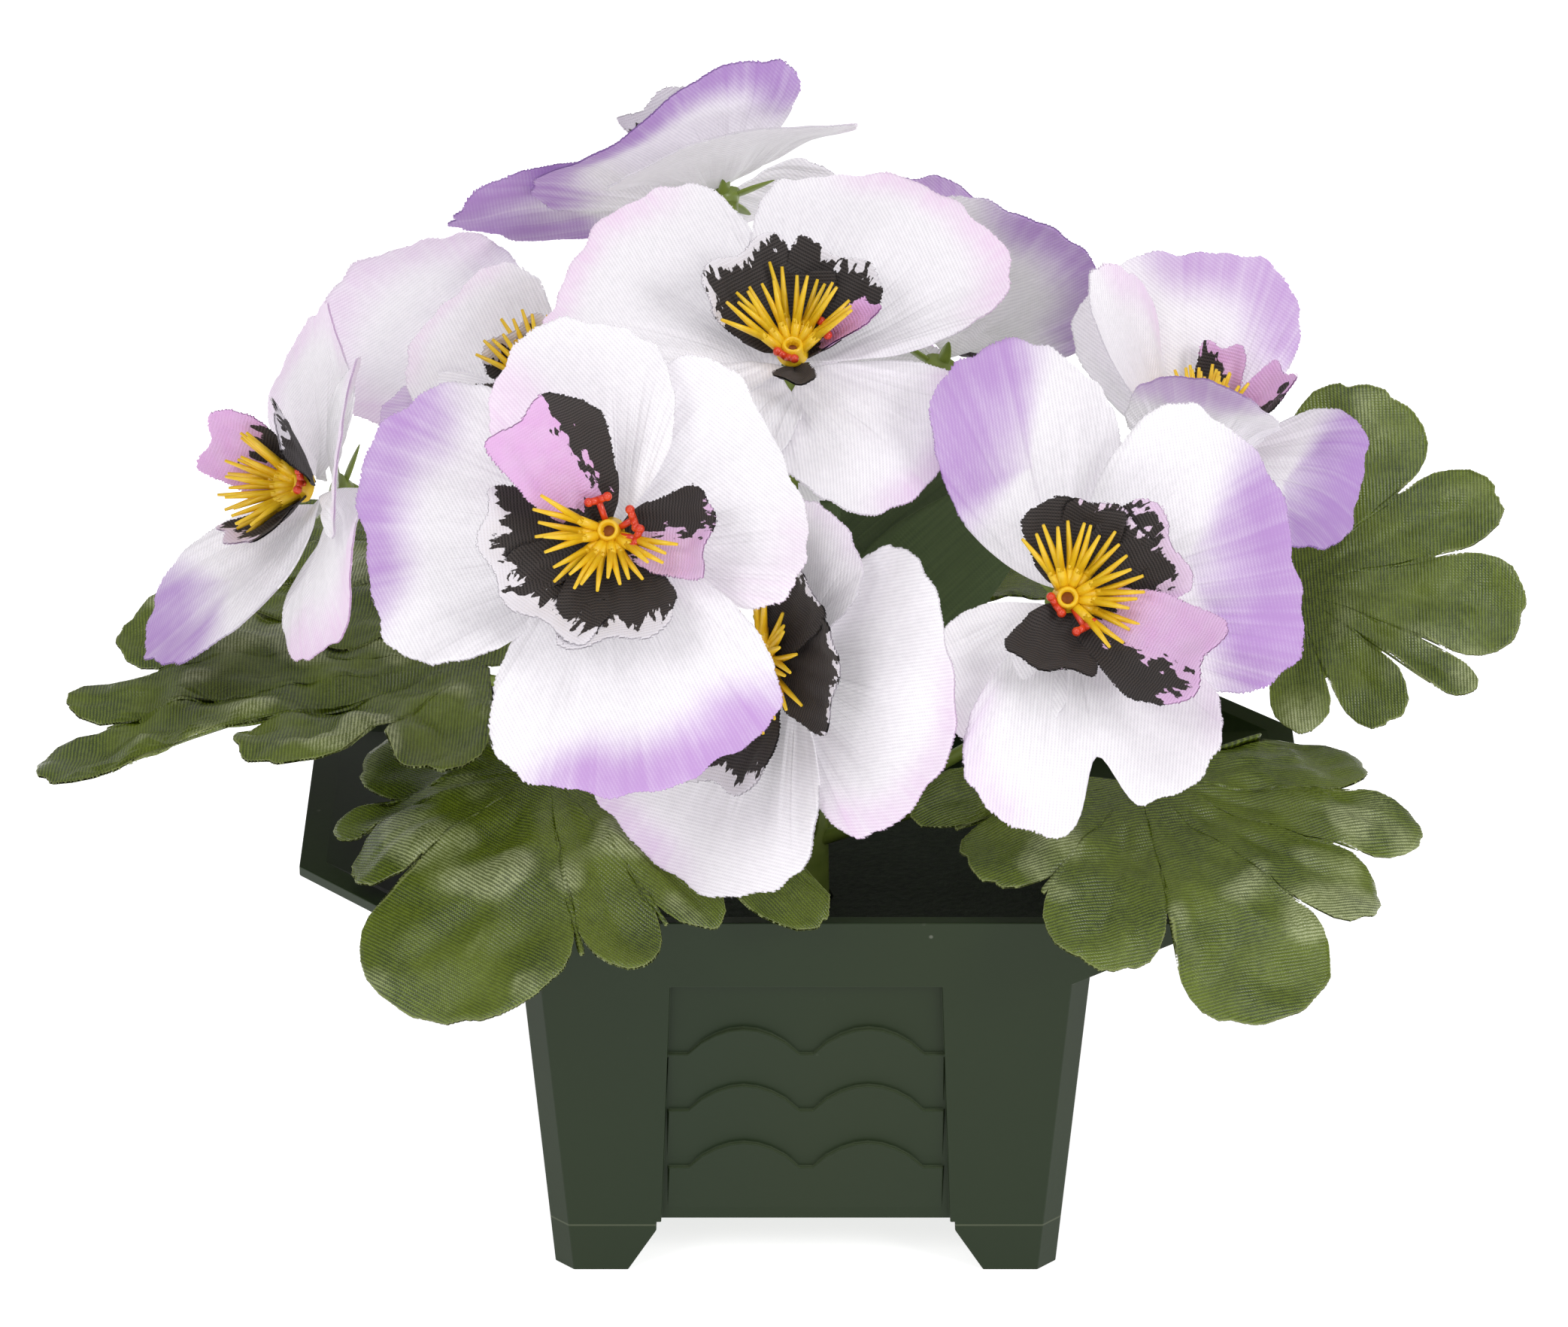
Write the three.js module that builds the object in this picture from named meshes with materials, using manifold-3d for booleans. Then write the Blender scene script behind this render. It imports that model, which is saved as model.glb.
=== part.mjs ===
// A bush of fabric pansies in a square, footed plastic planter.
// Millimetres, +Z up, the front towards -Y and the long side of the rim along X.
import * as THREE from 'three';
import { mergeVertices } from 'three/addons/utils/BufferGeometryUtils.js';
import { ConvexGeometry } from 'three/addons/geometries/ConvexGeometry.js';
import Module from 'manifold-3d';

const wasm = await Module();
wasm.setup();

// Planter
const RIM_HEIGHT = 75;
const RIM_LENGTH = 185; // along X
const HALF_AT_RIM = 52.5; // from the axis to the front and back faces
const HALF_AT_FLOOR = 46.3;
const RIM_CORNER = [21.5, 23]; // the cut corners of the rim, along X and along Y
const RIM_LIP = 2;
const BRIM_ROOT = 62; // where the side brims leave the body
const BODY_CORNER = 3.5;
const WALL = 2.6;
const UNDERSIDE = 10.5; // the body's underside, clear of the ground between the feet
const FLOOR_TOP = 13.5;
const FOOT_BEVEL_TOP = 8.7;
const FEET_APART = 27.5; // half the space between the feet, above their bevels
const FEET_APART_AT_FLOOR = 32.8;

// Panels with scalloped courses, one on each side
const PANEL_TOP = 61.6;
const PANEL_HALF_TOP = 24.6;
const PANEL_HALF_BOTTOM = 27;
const PANEL_DEPTH = 1.6;
const COURSE_VALLEYS = [46.6, 34.4, 22];
const COURSE_RISE = 5.6; // from a valley to the crown of its arches
const COURSE_RELIEF = 0.8;
const ARCH_FROM = 1.25;
const ARCH_TO = 21.5;
const ARCH_STEPS = 8;

// Foam block and bush
const GAP = 0.3; // between pieces that touch
const FOAM_TOP = 54;
const TRUNK_RADIUS = 5;
const TRUNK_FOOT = 20;
const TRUNK_TOP = 86;
const BRANCH_RADIUS = 1.6;
const PETIOLE_RADIUS = 1.4;
const FABRIC = 0.7; // thickness of every petal and leaf
const HUB_RADIUS = 3.4;
const PETAL_START = 2.2; // from the bloom's axis to where its petals begin, inside the hub
const THROAT_START = 1.7;
const THROAT_RADIUS = 2.6;
const PETAL_HUB = [-1.6, 1.5]; // bottom and top of a bloom's hub, along its axis
const THROAT_HUB = [1.9, 3.1];
const STAMEN_HUB = [3.4, 5.4];
const CALYX_HEIGHT = 6;
const CALYX_RADIUS = 4.2;
const LAYERS = [-0.6, 0.4, -0.2, 0.3]; // how high each petal starts, one over the other
const STAMENS = 9;
const STAMEN_LENGTH = 16;
const STAMEN_RADIUS = 0.8;
const STAMEN_HUB_RADIUS = 1.9;
const STAMEN_SPREAD = 190; // degrees of the clock face that the stamens take up
const STAMEN_STAGGER = 6; // degrees by which every other stamen stands steeper

const DEG = Math.PI / 180;

// A bloom has a hub, the way it faces (degrees to the right of the front, degrees up), the turn of its
// stamens, and rows for its petals and its throat arms. A turn is read as on a clock face, in degrees.
// Each row: turn, lift from the flat, length, width, bow along the length, cup across it, and, where it
// has them, the roll about its length and the depth of the notch in its end, as a share of the length.
const BLOOMS = {
  front_left: {
    hub: [-33.8, -58, 153.2], face: [-8, 36], stamens: [198, 42],
    petals: [
      [276, 0, 46, 50, -10, 8], [347, 16, 38, 35, -10, 8],
      [63, 4, 34, 50, -16, 8], [171, 3, 46, 52, -15, 10],
    ],
    throat: [
      [326, 40, 31, 24, 10, 10], [260, 22, 24, 24, 0, 10],
      [95, 26, 22, 20, 0, 10], [172, 24, 24, 26, 0, 10],
    ],
  },
  top: {
    hub: [-2.6, -8, 164.3], face: [3, 62], stamens: [0, 46],
    petals: [
      [298, 14, 46, 50, -8, 10], [35, 10, 46, 50, -8, 10],
      [138, 5, 35, 42, -8, 10], [222, 15, 32, 30, -8, 10],
    ],
    throat: [
      [325, 36, 23, 24, 0, 10], [40, 32, 22, 24, 0, 10], [90, 40, 20, 14, 0, 10],
      [180, 36, 18, 16, 0, 10],
    ],
  },
  front_right: {
    hub: [46, -45, 135.2], face: [0, 30], stamens: [52, 38],
    petals: [
      [346, -2, 48, 35, -8, 8], [70, 0, 43, 54, -8, 8],
      [170, 14, 42, 48, -8, 8, 0, 0.3], [222, 4, 30, 28, 0, 8],
    ],
    throat: [
      [5, 25, 19, 22, 0, 10], [62, 25, 24, 24, 0, 10],
      [122, 34, 34, 24, 0, 10], [196, 36, 18, 20, 0, 10],
    ],
  },
  front_low: {
    hub: [-5.4, -42, 122.5], face: [-38, 20], stamens: [100, 36],
    petals: [
      [103, 5, 40, 54, 0, 8], [206, 12, 42, 56, 0, 8], [30, 14, 34, 26, 0, 8],
    ],
    throat: [[40, 26, 24, 22, 0, 10], [100, 22, 24, 24, 0, 10], [190, 24, 26, 24, 0, 10]],
  },
  left: {
    hub: [-87, -8, 140.2], face: [-70, 20], stamens: [250, 54],
    petals: [
      [212, 31, 47, 29, 0, 8], [336, 5, 36, 30, 0, 8],
      [75, 20, 40, 34, 0, 8], [138, 5, 36, 36, 0, 8],
    ],
    throat: [[300, 50, 24, 18, 0, 10], [40, 45, 20, 18, 0, 10], [190, 50, 20, 18, 0, 10]],
  },
  back_left: {
    hub: [-47, 22, 145], face: [-15, 45], stamens: [20, 46], grid: [3, 4],
    petals: [
      [302, -6, 51, 44, 0, 8], [304, 24, 28, 34, 0, 8],
      [50, 5, 34, 32, 0, 8], [235, 20, 34, 32, 0, 8],
    ],
    throat: [[325, 44, 16, 18, 0, 10], [80, 36, 20, 20, 0, 10], [220, 50, 20, 18, 0, 10]],
  },
  crown: {
    hub: [-16.3, 48, 177.3], face: [203, 39], stamens: [60, 50], grid: [3, 4],
    petals: [
      [29, -13, 30, 51, 0, 8], [60, 3, 36, 59, 0, 8],
      [122, 10, 52, 27, 0, 8], [230, 12, 34, 40, 0, 8],
    ],
    throat: [[60, 32, 22, 22, 0, 10], [180, 36, 20, 20, 0, 10], [300, 44, 20, 20, 0, 10]],
  },
  back_right: {
    hub: [26.6, 46.5, 143.6], face: [152, 31], stamens: [0, 50], grid: [3, 4],
    petals: [
      [332, 18, 42, 40, 0, 8], [306, 10, 45, 42, 0, 8],
      [60, 10, 34, 36, 0, 8], [170, 20, 34, 42, 0, 8],
    ],
    throat: [[0, 40, 22, 22, 0, 10], [120, 36, 20, 20, 0, 10], [240, 44, 20, 20, 0, 10]],
  },
  right: {
    hub: [72, 12, 137], face: [20, 75], stamens: [30, 76],
    petals: [
      [292, 62, 46, 24, 0, 8], [-7, 54, 41, 44, 0, 8],
      [118, 24, 32, 44, -54, 8], [195, 66, 33, 30, 0, 8],
    ],
    throat: [[25, 60, 22, 12, 0, 10], [85, 50, 24, 14, 0, 10]],
  },
  rear: {
    hub: [-10, 78, 110], face: [185, 14], stamens: [0, 42], grid: [3, 4],
    petals: [
      [10, 10, 36, 44, 0, 8], [80, 2, 42, 42, 0, 8],
      [180, 12, 44, 48, 0, 8], [280, 4, 42, 42, 0, 8],
    ],
    throat: [[0, 30, 22, 22, 0, 10], [120, 30, 22, 20, 0, 10], [240, 30, 22, 20, 0, 10]],
  },
};

// A leaf has the point where its stalk meets it, the way its midrib runs (degrees to the right of the
// front, degrees up), its length and width for the bow along it and the cup across it, and the roll
// about its midrib. Its lobes are listed from left to right, each with the turn from the midrib where it
// starts, its reach and, where it isn't the usual one, how far out the cut before it starts, as a share of
// the shorter of the two lobes; the last number is where the last lobe ends.
const LEAVES = {
  front_left: {
    base: [-47, -27, 93], run: [-45, -13], length: 60, width: 96, bow: -34, cup: -27, roll: 0,
    lobes: [[-112, 62], [-92, 50, 0.92], [-72, 52, 0.9], [-50, 58, 0.9], [8, 41, 0.7], [42, 44, 0.7], [56, 42, 0.75]],
    end: 108,
  },
  front_right: {
    base: [60, -30, 92], run: [20, -14], length: 60, width: 96, bow: -34, cup: -16, roll: 0,
    lobes: [[-112, 48], [-80, 54, 0.75], [-58, 50, 0.75], [-30, 56, 0.72], [10, 44, 0.72], [50, 38, 0.9], [92, 42, 0.92]],
    end: 118,
  },
  left: {
    base: [-58, -12, 107], run: [-92, 0], length: 80, width: 80, bow: -10, cup: -8, roll: 0,
    lobes: [[-96, 38], [-56, 54, 0.8], [-24, 85, 0.85], [-6, 79, 0.8], [8, 74, 0.75], [26, 50, 0.8], [60, 34, 0.8]],
    end: 100,
  },
  right: {
    base: [89, 12, 112], run: [88, 8], length: 46, width: 84, bow: -10, cup: 6, roll: 45,
    lobes: [[-118, 32], [-84, 42], [-38, 43], [-8, 45], [26, 42], [40, 34], [72, 30]], end: 104,
  },
  back_left: {
    base: [-56, 28, 112], run: [-98, -2], length: 70, width: 56, bow: -16, cup: -8, roll: 0,
    lobes: [[-104, 30], [-66, 44], [-30, 58], [-8, 68], [12, 58], [38, 42], [70, 30]], end: 104,
  },
  back_right: {
    base: [54, 44, 94], run: [140, 2], length: 62, width: 78, bow: -36, cup: -16, roll: 0,
    lobes: [[-108, 40], [-72, 46], [-40, 54], [-10, 60], [22, 54], [50, 46], [78, 38]], end: 108,
  },
};

// Plain strap-shaped leaves in the middle of the bush, given in the same way.
const STRAPS = {
  centre: { base: [2, 12, 108], run: [76, 50], length: 66, width: 28, bow: -14, cup: 10, roll: 62 },
  right: { base: [7, -3, 103], run: [82, 52], length: 60, width: 24, bow: -10, cup: 8, roll: 70 },
  low_right: { base: [3, -11, 103], run: [12, 84], length: 40, width: 11, bow: -6, cup: 12, roll: 0 },
};

// Boolean helpers

function mergedPositions(geometry) {
  const plain = geometry.clone();
  plain.deleteAttribute('normal');
  plain.deleteAttribute('uv');
  return mergeVertices(plain, 1e-4);
}

function solidOf(geometry) {
  const merged = mergedPositions(geometry);
  const vertProperties = new Float32Array(merged.attributes.position.array);
  const triVerts = new Uint32Array(merged.index.array);
  return new wasm.Manifold(new wasm.Mesh({ numProp: 3, vertProperties, triVerts }));
}

function geometryOf(solid) {
  const mesh = solid.simplify(0.01).getMesh();
  const geometry = new THREE.BufferGeometry();
  geometry.setAttribute('position', new THREE.BufferAttribute(mesh.vertProperties, 3));
  geometry.setIndex(new THREE.BufferAttribute(mesh.triVerts, 1));
  geometry.computeVertexNormals();
  return geometry;
}

function joined(geometries) {
  return geometries.map(solidOf).reduce((whole, piece) => whole.add(piece));
}

// Planter

function halfAt(z) {
  return HALF_AT_FLOOR + (HALF_AT_RIM - HALF_AT_FLOOR) * z / RIM_HEIGHT;
}

// A square frustum round the Z axis; square and diamond together make the cut corners.
function frustum(z0, z1, inset, turned) {
  const radius = (z) => turned ? (halfAt(z) - inset) * Math.SQRT2 : 2 * (halfAt(z) - inset) - BODY_CORNER;
  return new THREE.CylinderGeometry(radius(z1), radius(z0), z1 - z0, 4)
    .rotateX(90 * DEG)
    .rotateZ(turned ? 45 * DEG : 0)
    .translate(0, 0, (z0 + z1) / 2);
}

function taperedBody(z0, z1, inset) {
  return solidOf(frustum(z0, z1, inset, true)).intersect(solidOf(frustum(z0, z1, inset, false)));
}

// The top opens out to the left and right in two shallow brims, flush with the front and back faces.
function brim(top, lipFoot, root, inset) {
  const points = [];
  for (const sx of [-1, 1]) {
    for (const sy of [-1, 1]) {
      for (const z of [lipFoot, top]) {
        const x = RIM_LENGTH / 2 - inset;
        const y = halfAt(z) - inset;
        points.push(new THREE.Vector3(sx * (x - RIM_CORNER[0]), sy * y, z));
        points.push(new THREE.Vector3(sx * x, sy * (y - RIM_CORNER[1]), z));
      }
      const half = halfAt(root) - inset;
      points.push(new THREE.Vector3(sx * half, sy * (half - BODY_CORNER), root));
      points.push(new THREE.Vector3(sx * (half - BODY_CORNER), sy * half, root));
    }
  }
  return solidOf(new ConvexGeometry(points));
}

// Cuts the space between the feet, along Y.
function feetGap() {
  const below = -1;
  const outline = new THREE.Shape([
    new THREE.Vector2(-FEET_APART, UNDERSIDE), new THREE.Vector2(-FEET_APART, FOOT_BEVEL_TOP),
    new THREE.Vector2(-FEET_APART_AT_FLOOR, 0), new THREE.Vector2(-FEET_APART_AT_FLOOR, below),
    new THREE.Vector2(FEET_APART_AT_FLOOR, below), new THREE.Vector2(FEET_APART_AT_FLOOR, 0),
    new THREE.Vector2(FEET_APART, FOOT_BEVEL_TOP), new THREE.Vector2(FEET_APART, UNDERSIDE),
  ]);
  const length = 2 * HALF_AT_RIM + 20;
  return new THREE.ExtrudeGeometry(outline, { depth: length, bevelEnabled: false })
    .rotateX(90 * DEG)
    .translate(0, length / 2, 0);
}

// Stands a shape drawn in X and Y, with Z outwards, on one of the four leaning faces.
function onFace(geometry, side) {
  const lean = Math.atan((HALF_AT_RIM - HALF_AT_FLOOR) / RIM_HEIGHT);
  return geometry.clone()
    .rotateX(90 * DEG + lean)
    .translate(0, -HALF_AT_FLOOR, 0)
    .rotateZ(side * 90 * DEG);
}

function panelCut() {
  const outline = new THREE.Shape([
    new THREE.Vector2(-PANEL_HALF_BOTTOM, 0), new THREE.Vector2(PANEL_HALF_BOTTOM, 0),
    new THREE.Vector2(PANEL_HALF_TOP, PANEL_TOP), new THREE.Vector2(-PANEL_HALF_TOP, PANEL_TOP),
  ]);
  return new THREE.ExtrudeGeometry(outline, { depth: PANEL_DEPTH + 4, bevelEnabled: false })
    .translate(0, 0, -PANEL_DEPTH);
}

// One course: two arches side by side, proud at their top edge and dying into the panel below.
function course(valley, foot) {
  const sunk = 0.5;
  const edge = PANEL_HALF_TOP + 0.6; // runs a little into the panel's side wall
  const points = [new THREE.Vector2(edge, foot), new THREE.Vector2(edge, valley)];
  for (const side of [1, -1]) {
    const arch = [];
    for (let i = 0; i <= ARCH_STEPS; i += 1) {
      const x = ARCH_TO + (ARCH_FROM - ARCH_TO) * i / ARCH_STEPS;
      const rise = COURSE_RISE * Math.sin(Math.PI * i / ARCH_STEPS) ** 0.8;
      arch.push(new THREE.Vector2(side * x, valley + rise));
    }
    points.push(...(side > 0 ? arch : arch.reverse()));
  }
  points.push(new THREE.Vector2(-edge, valley), new THREE.Vector2(-edge, foot));
  const plate = new THREE.ExtrudeGeometry(new THREE.Shape(points), { depth: 1, bevelEnabled: false });
  const position = plate.attributes.position;
  for (let i = 0; i < position.count; i += 1) {
    const share = (position.getY(i) - foot) / (valley - foot);
    const front = -PANEL_DEPTH - 0.1 + COURSE_RELIEF * share;
    position.setZ(i, position.getZ(i) > 0.5 ? front : -PANEL_DEPTH - sunk);
  }
  return plate;
}

function planter() {
  const gap = feetGap();
  const cut = panelCut();
  const reach = 6; // the cutters run past the top
  let body = taperedBody(0, RIM_HEIGHT, 0)
    .add(brim(RIM_HEIGHT, RIM_HEIGHT - RIM_LIP, BRIM_ROOT, 0))
    .subtract(taperedBody(FLOOR_TOP, RIM_HEIGHT + reach, WALL))
    .subtract(brim(RIM_HEIGHT + reach, RIM_HEIGHT - RIM_LIP + WALL, BRIM_ROOT + WALL, WALL))
    .subtract(solidOf(gap))
    .subtract(solidOf(gap.clone().rotateZ(90 * DEG)));
  for (let side = 0; side < 4; side += 1) {
    body = body.subtract(solidOf(onFace(cut, side)));
    COURSE_VALLEYS.forEach((valley, i) => {
      const foot = (COURSE_VALLEYS[i + 1] ?? UNDERSIDE + 0.6) + 0.4;
      body = body.add(solidOf(onFace(course(valley, foot), side)));
    });
  }
  return body;
}

function foamBlock() {
  const hole = new THREE.CylinderGeometry(TRUNK_RADIUS + GAP, TRUNK_RADIUS + GAP, RIM_HEIGHT, 12)
    .rotateX(90 * DEG)
    .translate(0, 0, TRUNK_FOOT - GAP + RIM_HEIGHT / 2);
  return taperedBody(FLOOR_TOP + GAP, FOAM_TOP, WALL + GAP).subtract(solidOf(hole));
}

// Fabric

// Gives a bent sheet its thickness. Both faces are split into the same triangles.
function sheetSolid(flat, place, thickness) {
  const surface = mergedPositions(flat);
  const position = surface.attributes.position;
  for (let i = 0; i < position.count; i += 1) {
    position.setXYZ(i, ...place(position.getX(i), position.getY(i)));
  }
  surface.computeVertexNormals();
  const normal = surface.attributes.normal;
  const count = position.count;
  const points = [];
  for (const side of [0.5, -0.5]) {
    for (let i = 0; i < count; i += 1) {
      points.push(position.getX(i) + side * thickness * normal.getX(i));
      points.push(position.getY(i) + side * thickness * normal.getY(i));
      points.push(position.getZ(i) + side * thickness * normal.getZ(i));
    }
  }
  const faces = [];
  const openEdges = new Map();
  const index = surface.index.array;
  for (let i = 0; i < index.length; i += 3) {
    const [a, b, c] = index.slice(i, i + 3);
    if (a === b || b === c || c === a) continue;
    faces.push(a, b, c, count + a, count + c, count + b);
    for (const [from, to] of [[a, b], [b, c], [c, a]]) {
      if (!openEdges.delete(`${to} ${from}`)) openEdges.set(`${from} ${to}`, [from, to]);
    }
  }
  for (const [a, b] of openEdges.values()) {
    faces.push(b, a, count + a, b, count + a, count + b);
  }
  const geometry = new THREE.BufferGeometry();
  geometry.setAttribute('position', new THREE.Float32BufferAttribute(points, 3));
  geometry.setIndex(faces);
  return geometry;
}

// Bends flat fabric, x across and y along, into arcs both ways; it starts at the origin along +Y.
function bend(x, y, sheet) {
  const { length, width, lift = 0, bow = 0, cup = 0, roll = 0 } = sheet;
  const bowRate = (bow || 1e-3) * DEG / length;
  const cupRate = (cup || 1e-3) * DEG / (width / 2);
  const angle = lift * DEG + bowRate * y;
  const along = (Math.sin(angle) - Math.sin(lift * DEG)) / bowRate;
  const up = (Math.cos(lift * DEG) - Math.cos(angle)) / bowRate;
  const acrossFlat = Math.sin(cupRate * x) / cupRate;
  const riseFlat = (1 - Math.cos(cupRate * x)) / cupRate;
  const across = acrossFlat * Math.cos(roll * DEG) + riseFlat * Math.sin(roll * DEG);
  const rise = riseFlat * Math.cos(roll * DEG) - acrossFlat * Math.sin(roll * DEG);
  return [across, along - rise * Math.sin(angle), up + rise * Math.cos(angle)];
}

// A petal is a disc drawn out narrow at the hub and broad beyond its middle.
const PETAL_BREADTH = 1.25; // makes up for the width lost in narrowing it
const NOTCH_HALF_WIDTH = 0.22; // as a share of half the petal's width

function petalSheet(row, start, columns, rows) {
  const [turn, lift, length, width, bow, cup, roll = 0, notch = 0] = row;
  const sheet = { length, width, lift, bow, cup, roll };
  const grid = new THREE.PlaneGeometry(2, 2, columns, rows);
  const place = (u, v) => {
    const discX = u * Math.sqrt(1 - v * v / 2);
    const discY = v * Math.sqrt(1 - u * u / 2);
    const share = (discY + 1) / 2;
    const x = width / 2 * discX * PETAL_BREADTH * Math.sqrt(share);
    const dip = notch * share ** 3 * Math.exp(-((discX / NOTCH_HALF_WIDTH) ** 2));
    const y = (length - start[0]) * (share - dip);
    const [px, py, pz] = bend(x, y, sheet);
    return [px, py + start[0], pz + start[1]];
  };
  return sheetSolid(grid, place, FABRIC).rotateZ(-turn * DEG);
}

function disc(radius, [bottom, top], sides) {
  return new THREE.CylinderGeometry(radius, radius, top - bottom, sides)
    .rotateX(90 * DEG)
    .translate(0, 0, (bottom + top) / 2);
}

function corolla(bloom) {
  const [columns, rows] = bloom.grid ?? [4, 5];
  const petals = bloom.petals.map((row, i) => petalSheet(row, [PETAL_START, LAYERS[i]], columns, rows));
  return joined([disc(HUB_RADIUS, PETAL_HUB, 8), ...petals]);
}

function throat(bloom) {
  const height = (THROAT_HUB[0] + THROAT_HUB[1]) / 2;
  const arms = bloom.throat.map((row) => petalSheet(row, [THROAT_START, height], 3, 3));
  return joined([disc(THROAT_RADIUS, THROAT_HUB, 6), ...arms]);
}

function stamens(bloom) {
  const [middle, rise] = bloom.stamens;
  const pieces = [disc(STAMEN_HUB_RADIUS, STAMEN_HUB, 6)];
  for (let i = 0; i < STAMENS; i += 1) {
    const turn = middle + STAMEN_SPREAD * (i / (STAMENS - 1) - 0.5);
    const lift = rise + (i % 2 ? STAMEN_STAGGER : 0);
    pieces.push(new THREE.ConeGeometry(STAMEN_RADIUS, STAMEN_LENGTH, 3)
      .translate(0, STAMEN_LENGTH / 2 + STAMEN_RADIUS, 0)
      .rotateX(lift * DEG)
      .translate(0, 0, STAMEN_HUB[1] - 1)
      .rotateZ(-turn * DEG));
  }
  return joined(pieces);
}

// A leaf is a fan of rounded lobes with narrow cuts between them, round the head of its stalk.
const LEAF_EYE = 2.5; // the small open middle
const LOBE_STEPS = [0, 0.1, 0.5, 0.9];
const LOBE_REACH = [0.66, 0.92, 1, 0.92];

function leafSheet(leaf) {
  const { lobes, end } = leaf;
  const columns = lobes.length * LOBE_STEPS.length;
  const grid = new THREE.PlaneGeometry(columns, 1, columns, 2).translate(columns / 2, 0.5, 0);
  const place = (column, row) => {
    const i = Math.min(Math.floor(column / LOBE_STEPS.length), lobes.length - 1);
    const step = column - i * LOBE_STEPS.length;
    const [from, length, cut = LOBE_REACH[0]] = lobes[i];
    const to = lobes[i + 1]?.[0] ?? end;
    const turn = from + (to - from) * (LOBE_STEPS[step] ?? 1);
    const shorter = Math.min(length, lobes[i - 1]?.[1] ?? length);
    const inCut = step === 0 && i > 0;
    const reach = inCut ? cut * shorter : (LOBE_REACH[step || 1] ?? 0.9) * length;
    const r = LEAF_EYE + (reach - LEAF_EYE) * row;
    return bend(r * Math.sin(turn * DEG), r * Math.cos(turn * DEG), leaf);
  };
  return sheetSolid(grid, place, FABRIC);
}

function strapSheet(strap) {
  const grid = new THREE.PlaneGeometry(2, 1, 2, 6).translate(0, 0.5, 0);
  const place = (u, share) => {
    const half = strap.width / 2 * (0.35 + 0.65 * Math.sin(Math.PI * Math.min(share + 0.12, 1) ** 0.8));
    return bend(u * half, strap.length * share, strap);
  };
  return sheetSolid(grid, place, FABRIC);
}

// Directions

function heading([right, up]) {
  const flat = Math.cos(up * DEG);
  return new THREE.Vector3(Math.sin(right * DEG) * flat, -Math.cos(right * DEG) * flat, Math.sin(up * DEG));
}

// A bloom's clock face has its twelve towards the top, seen from a little above the front.
const VIEW_RISE = 25; // degrees

function bloomBasis(bloom) {
  const axis = heading(bloom.face);
  const above = new THREE.Vector3(0, Math.sin(VIEW_RISE * DEG), Math.cos(VIEW_RISE * DEG));
  const twelve = above.projectOnPlane(axis).normalize();
  return new THREE.Matrix4().makeBasis(twelve.clone().cross(axis), twelve, axis).setPosition(...bloom.hub);
}

// A leaf's midrib runs along its own +Y, with +Z on its upper side.
function leafBasis(leaf) {
  const run = heading(leaf.run);
  const upper = new THREE.Vector3(0, 0, 1).projectOnPlane(run).normalize();
  return new THREE.Matrix4().makeBasis(run.clone().cross(upper), run, upper).setPosition(...leaf.base);
}

// Stems

function tube(curve, radius, steps) {
  const section = new THREE.Shape(new THREE.EllipseCurve(0, 0, radius, radius).getPoints(5).slice(0, 5));
  return new THREE.ExtrudeGeometry(section, { steps, extrudePath: curve, bevelEnabled: false });
}

function branch(bloom) {
  const basis = bloomBasis(bloom);
  const calyx = new THREE.CylinderGeometry(CALYX_RADIUS, BRANCH_RADIUS, CALYX_HEIGHT, 8)
    .rotateX(90 * DEG)
    .translate(0, 0, PETAL_HUB[0] - GAP - CALYX_HEIGHT / 2)
    .applyMatrix4(basis);
  const end = new THREE.Vector3(0, 0, PETAL_HUB[0] - GAP - CALYX_HEIGHT * 0.6).applyMatrix4(basis);
  const before = new THREE.Vector3(0, 0, -40).applyMatrix4(basis);
  const root = new THREE.Vector3(bloom.hub[0], bloom.hub[1], 0).setLength(2).setZ(TRUNK_TOP - 8);
  const out = root.clone().lerp(before, 0.3).setZ(root.z + 14);
  const curve = new THREE.CubicBezierCurve3(root, out, before, end);
  return [calyx, tube(curve, BRANCH_RADIUS, 5)];
}

function petiole(leaf) {
  const basis = leafBasis(leaf);
  const below = FABRIC / 2 + GAP + PETIOLE_RADIUS;
  const aside = -below * Math.sin(leaf.roll * DEG);
  const under = -below * Math.cos(leaf.roll * DEG);
  const end = new THREE.Vector3(aside, 4, under).applyMatrix4(basis);
  const before = new THREE.Vector3(aside, -14, under).applyMatrix4(basis);
  const root = new THREE.Vector3(leaf.base[0], leaf.base[1], 0).setLength(2).setZ(TRUNK_TOP - 20);
  return tube(new THREE.QuadraticBezierCurve3(root, before, end), PETIOLE_RADIUS, 4);
}

function stems() {
  const trunk = new THREE.CylinderGeometry(TRUNK_RADIUS * 0.8, TRUNK_RADIUS, TRUNK_TOP - TRUNK_FOOT, 10)
    .rotateX(90 * DEG)
    .translate(0, 0, (TRUNK_TOP + TRUNK_FOOT) / 2);
  const branches = Object.values(BLOOMS).flatMap(branch);
  const petioles = [...Object.values(LEAVES), ...Object.values(STRAPS)].map(petiole);
  return joined([trunk, ...branches, ...petioles]);
}

// Assembly

function finish(color, roughness) {
  return new THREE.MeshStandardMaterial({ color, roughness, metalness: 0 });
}

const MATERIALS = {
  planter: finish(0x2f4030, 0.5),
  foam: finish(0x1c2418, 0.95),
  stems: finish(0x7f9438, 0.5),
  petals: finish(0xeee6f2, 0.75),
  throat: finish(0x2e2a2b, 0.8),
  stamens: finish(0xe0b41e, 0.4),
  leaf: finish(0x4e6a2c, 0.6),
};

function piece(name, geometry, material) {
  const mesh = new THREE.Mesh(geometry, material);
  mesh.name = name;
  return mesh;
}

function placed(group, basis) {
  basis.decompose(group.position, group.quaternion, group.scale);
  return group;
}

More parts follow.
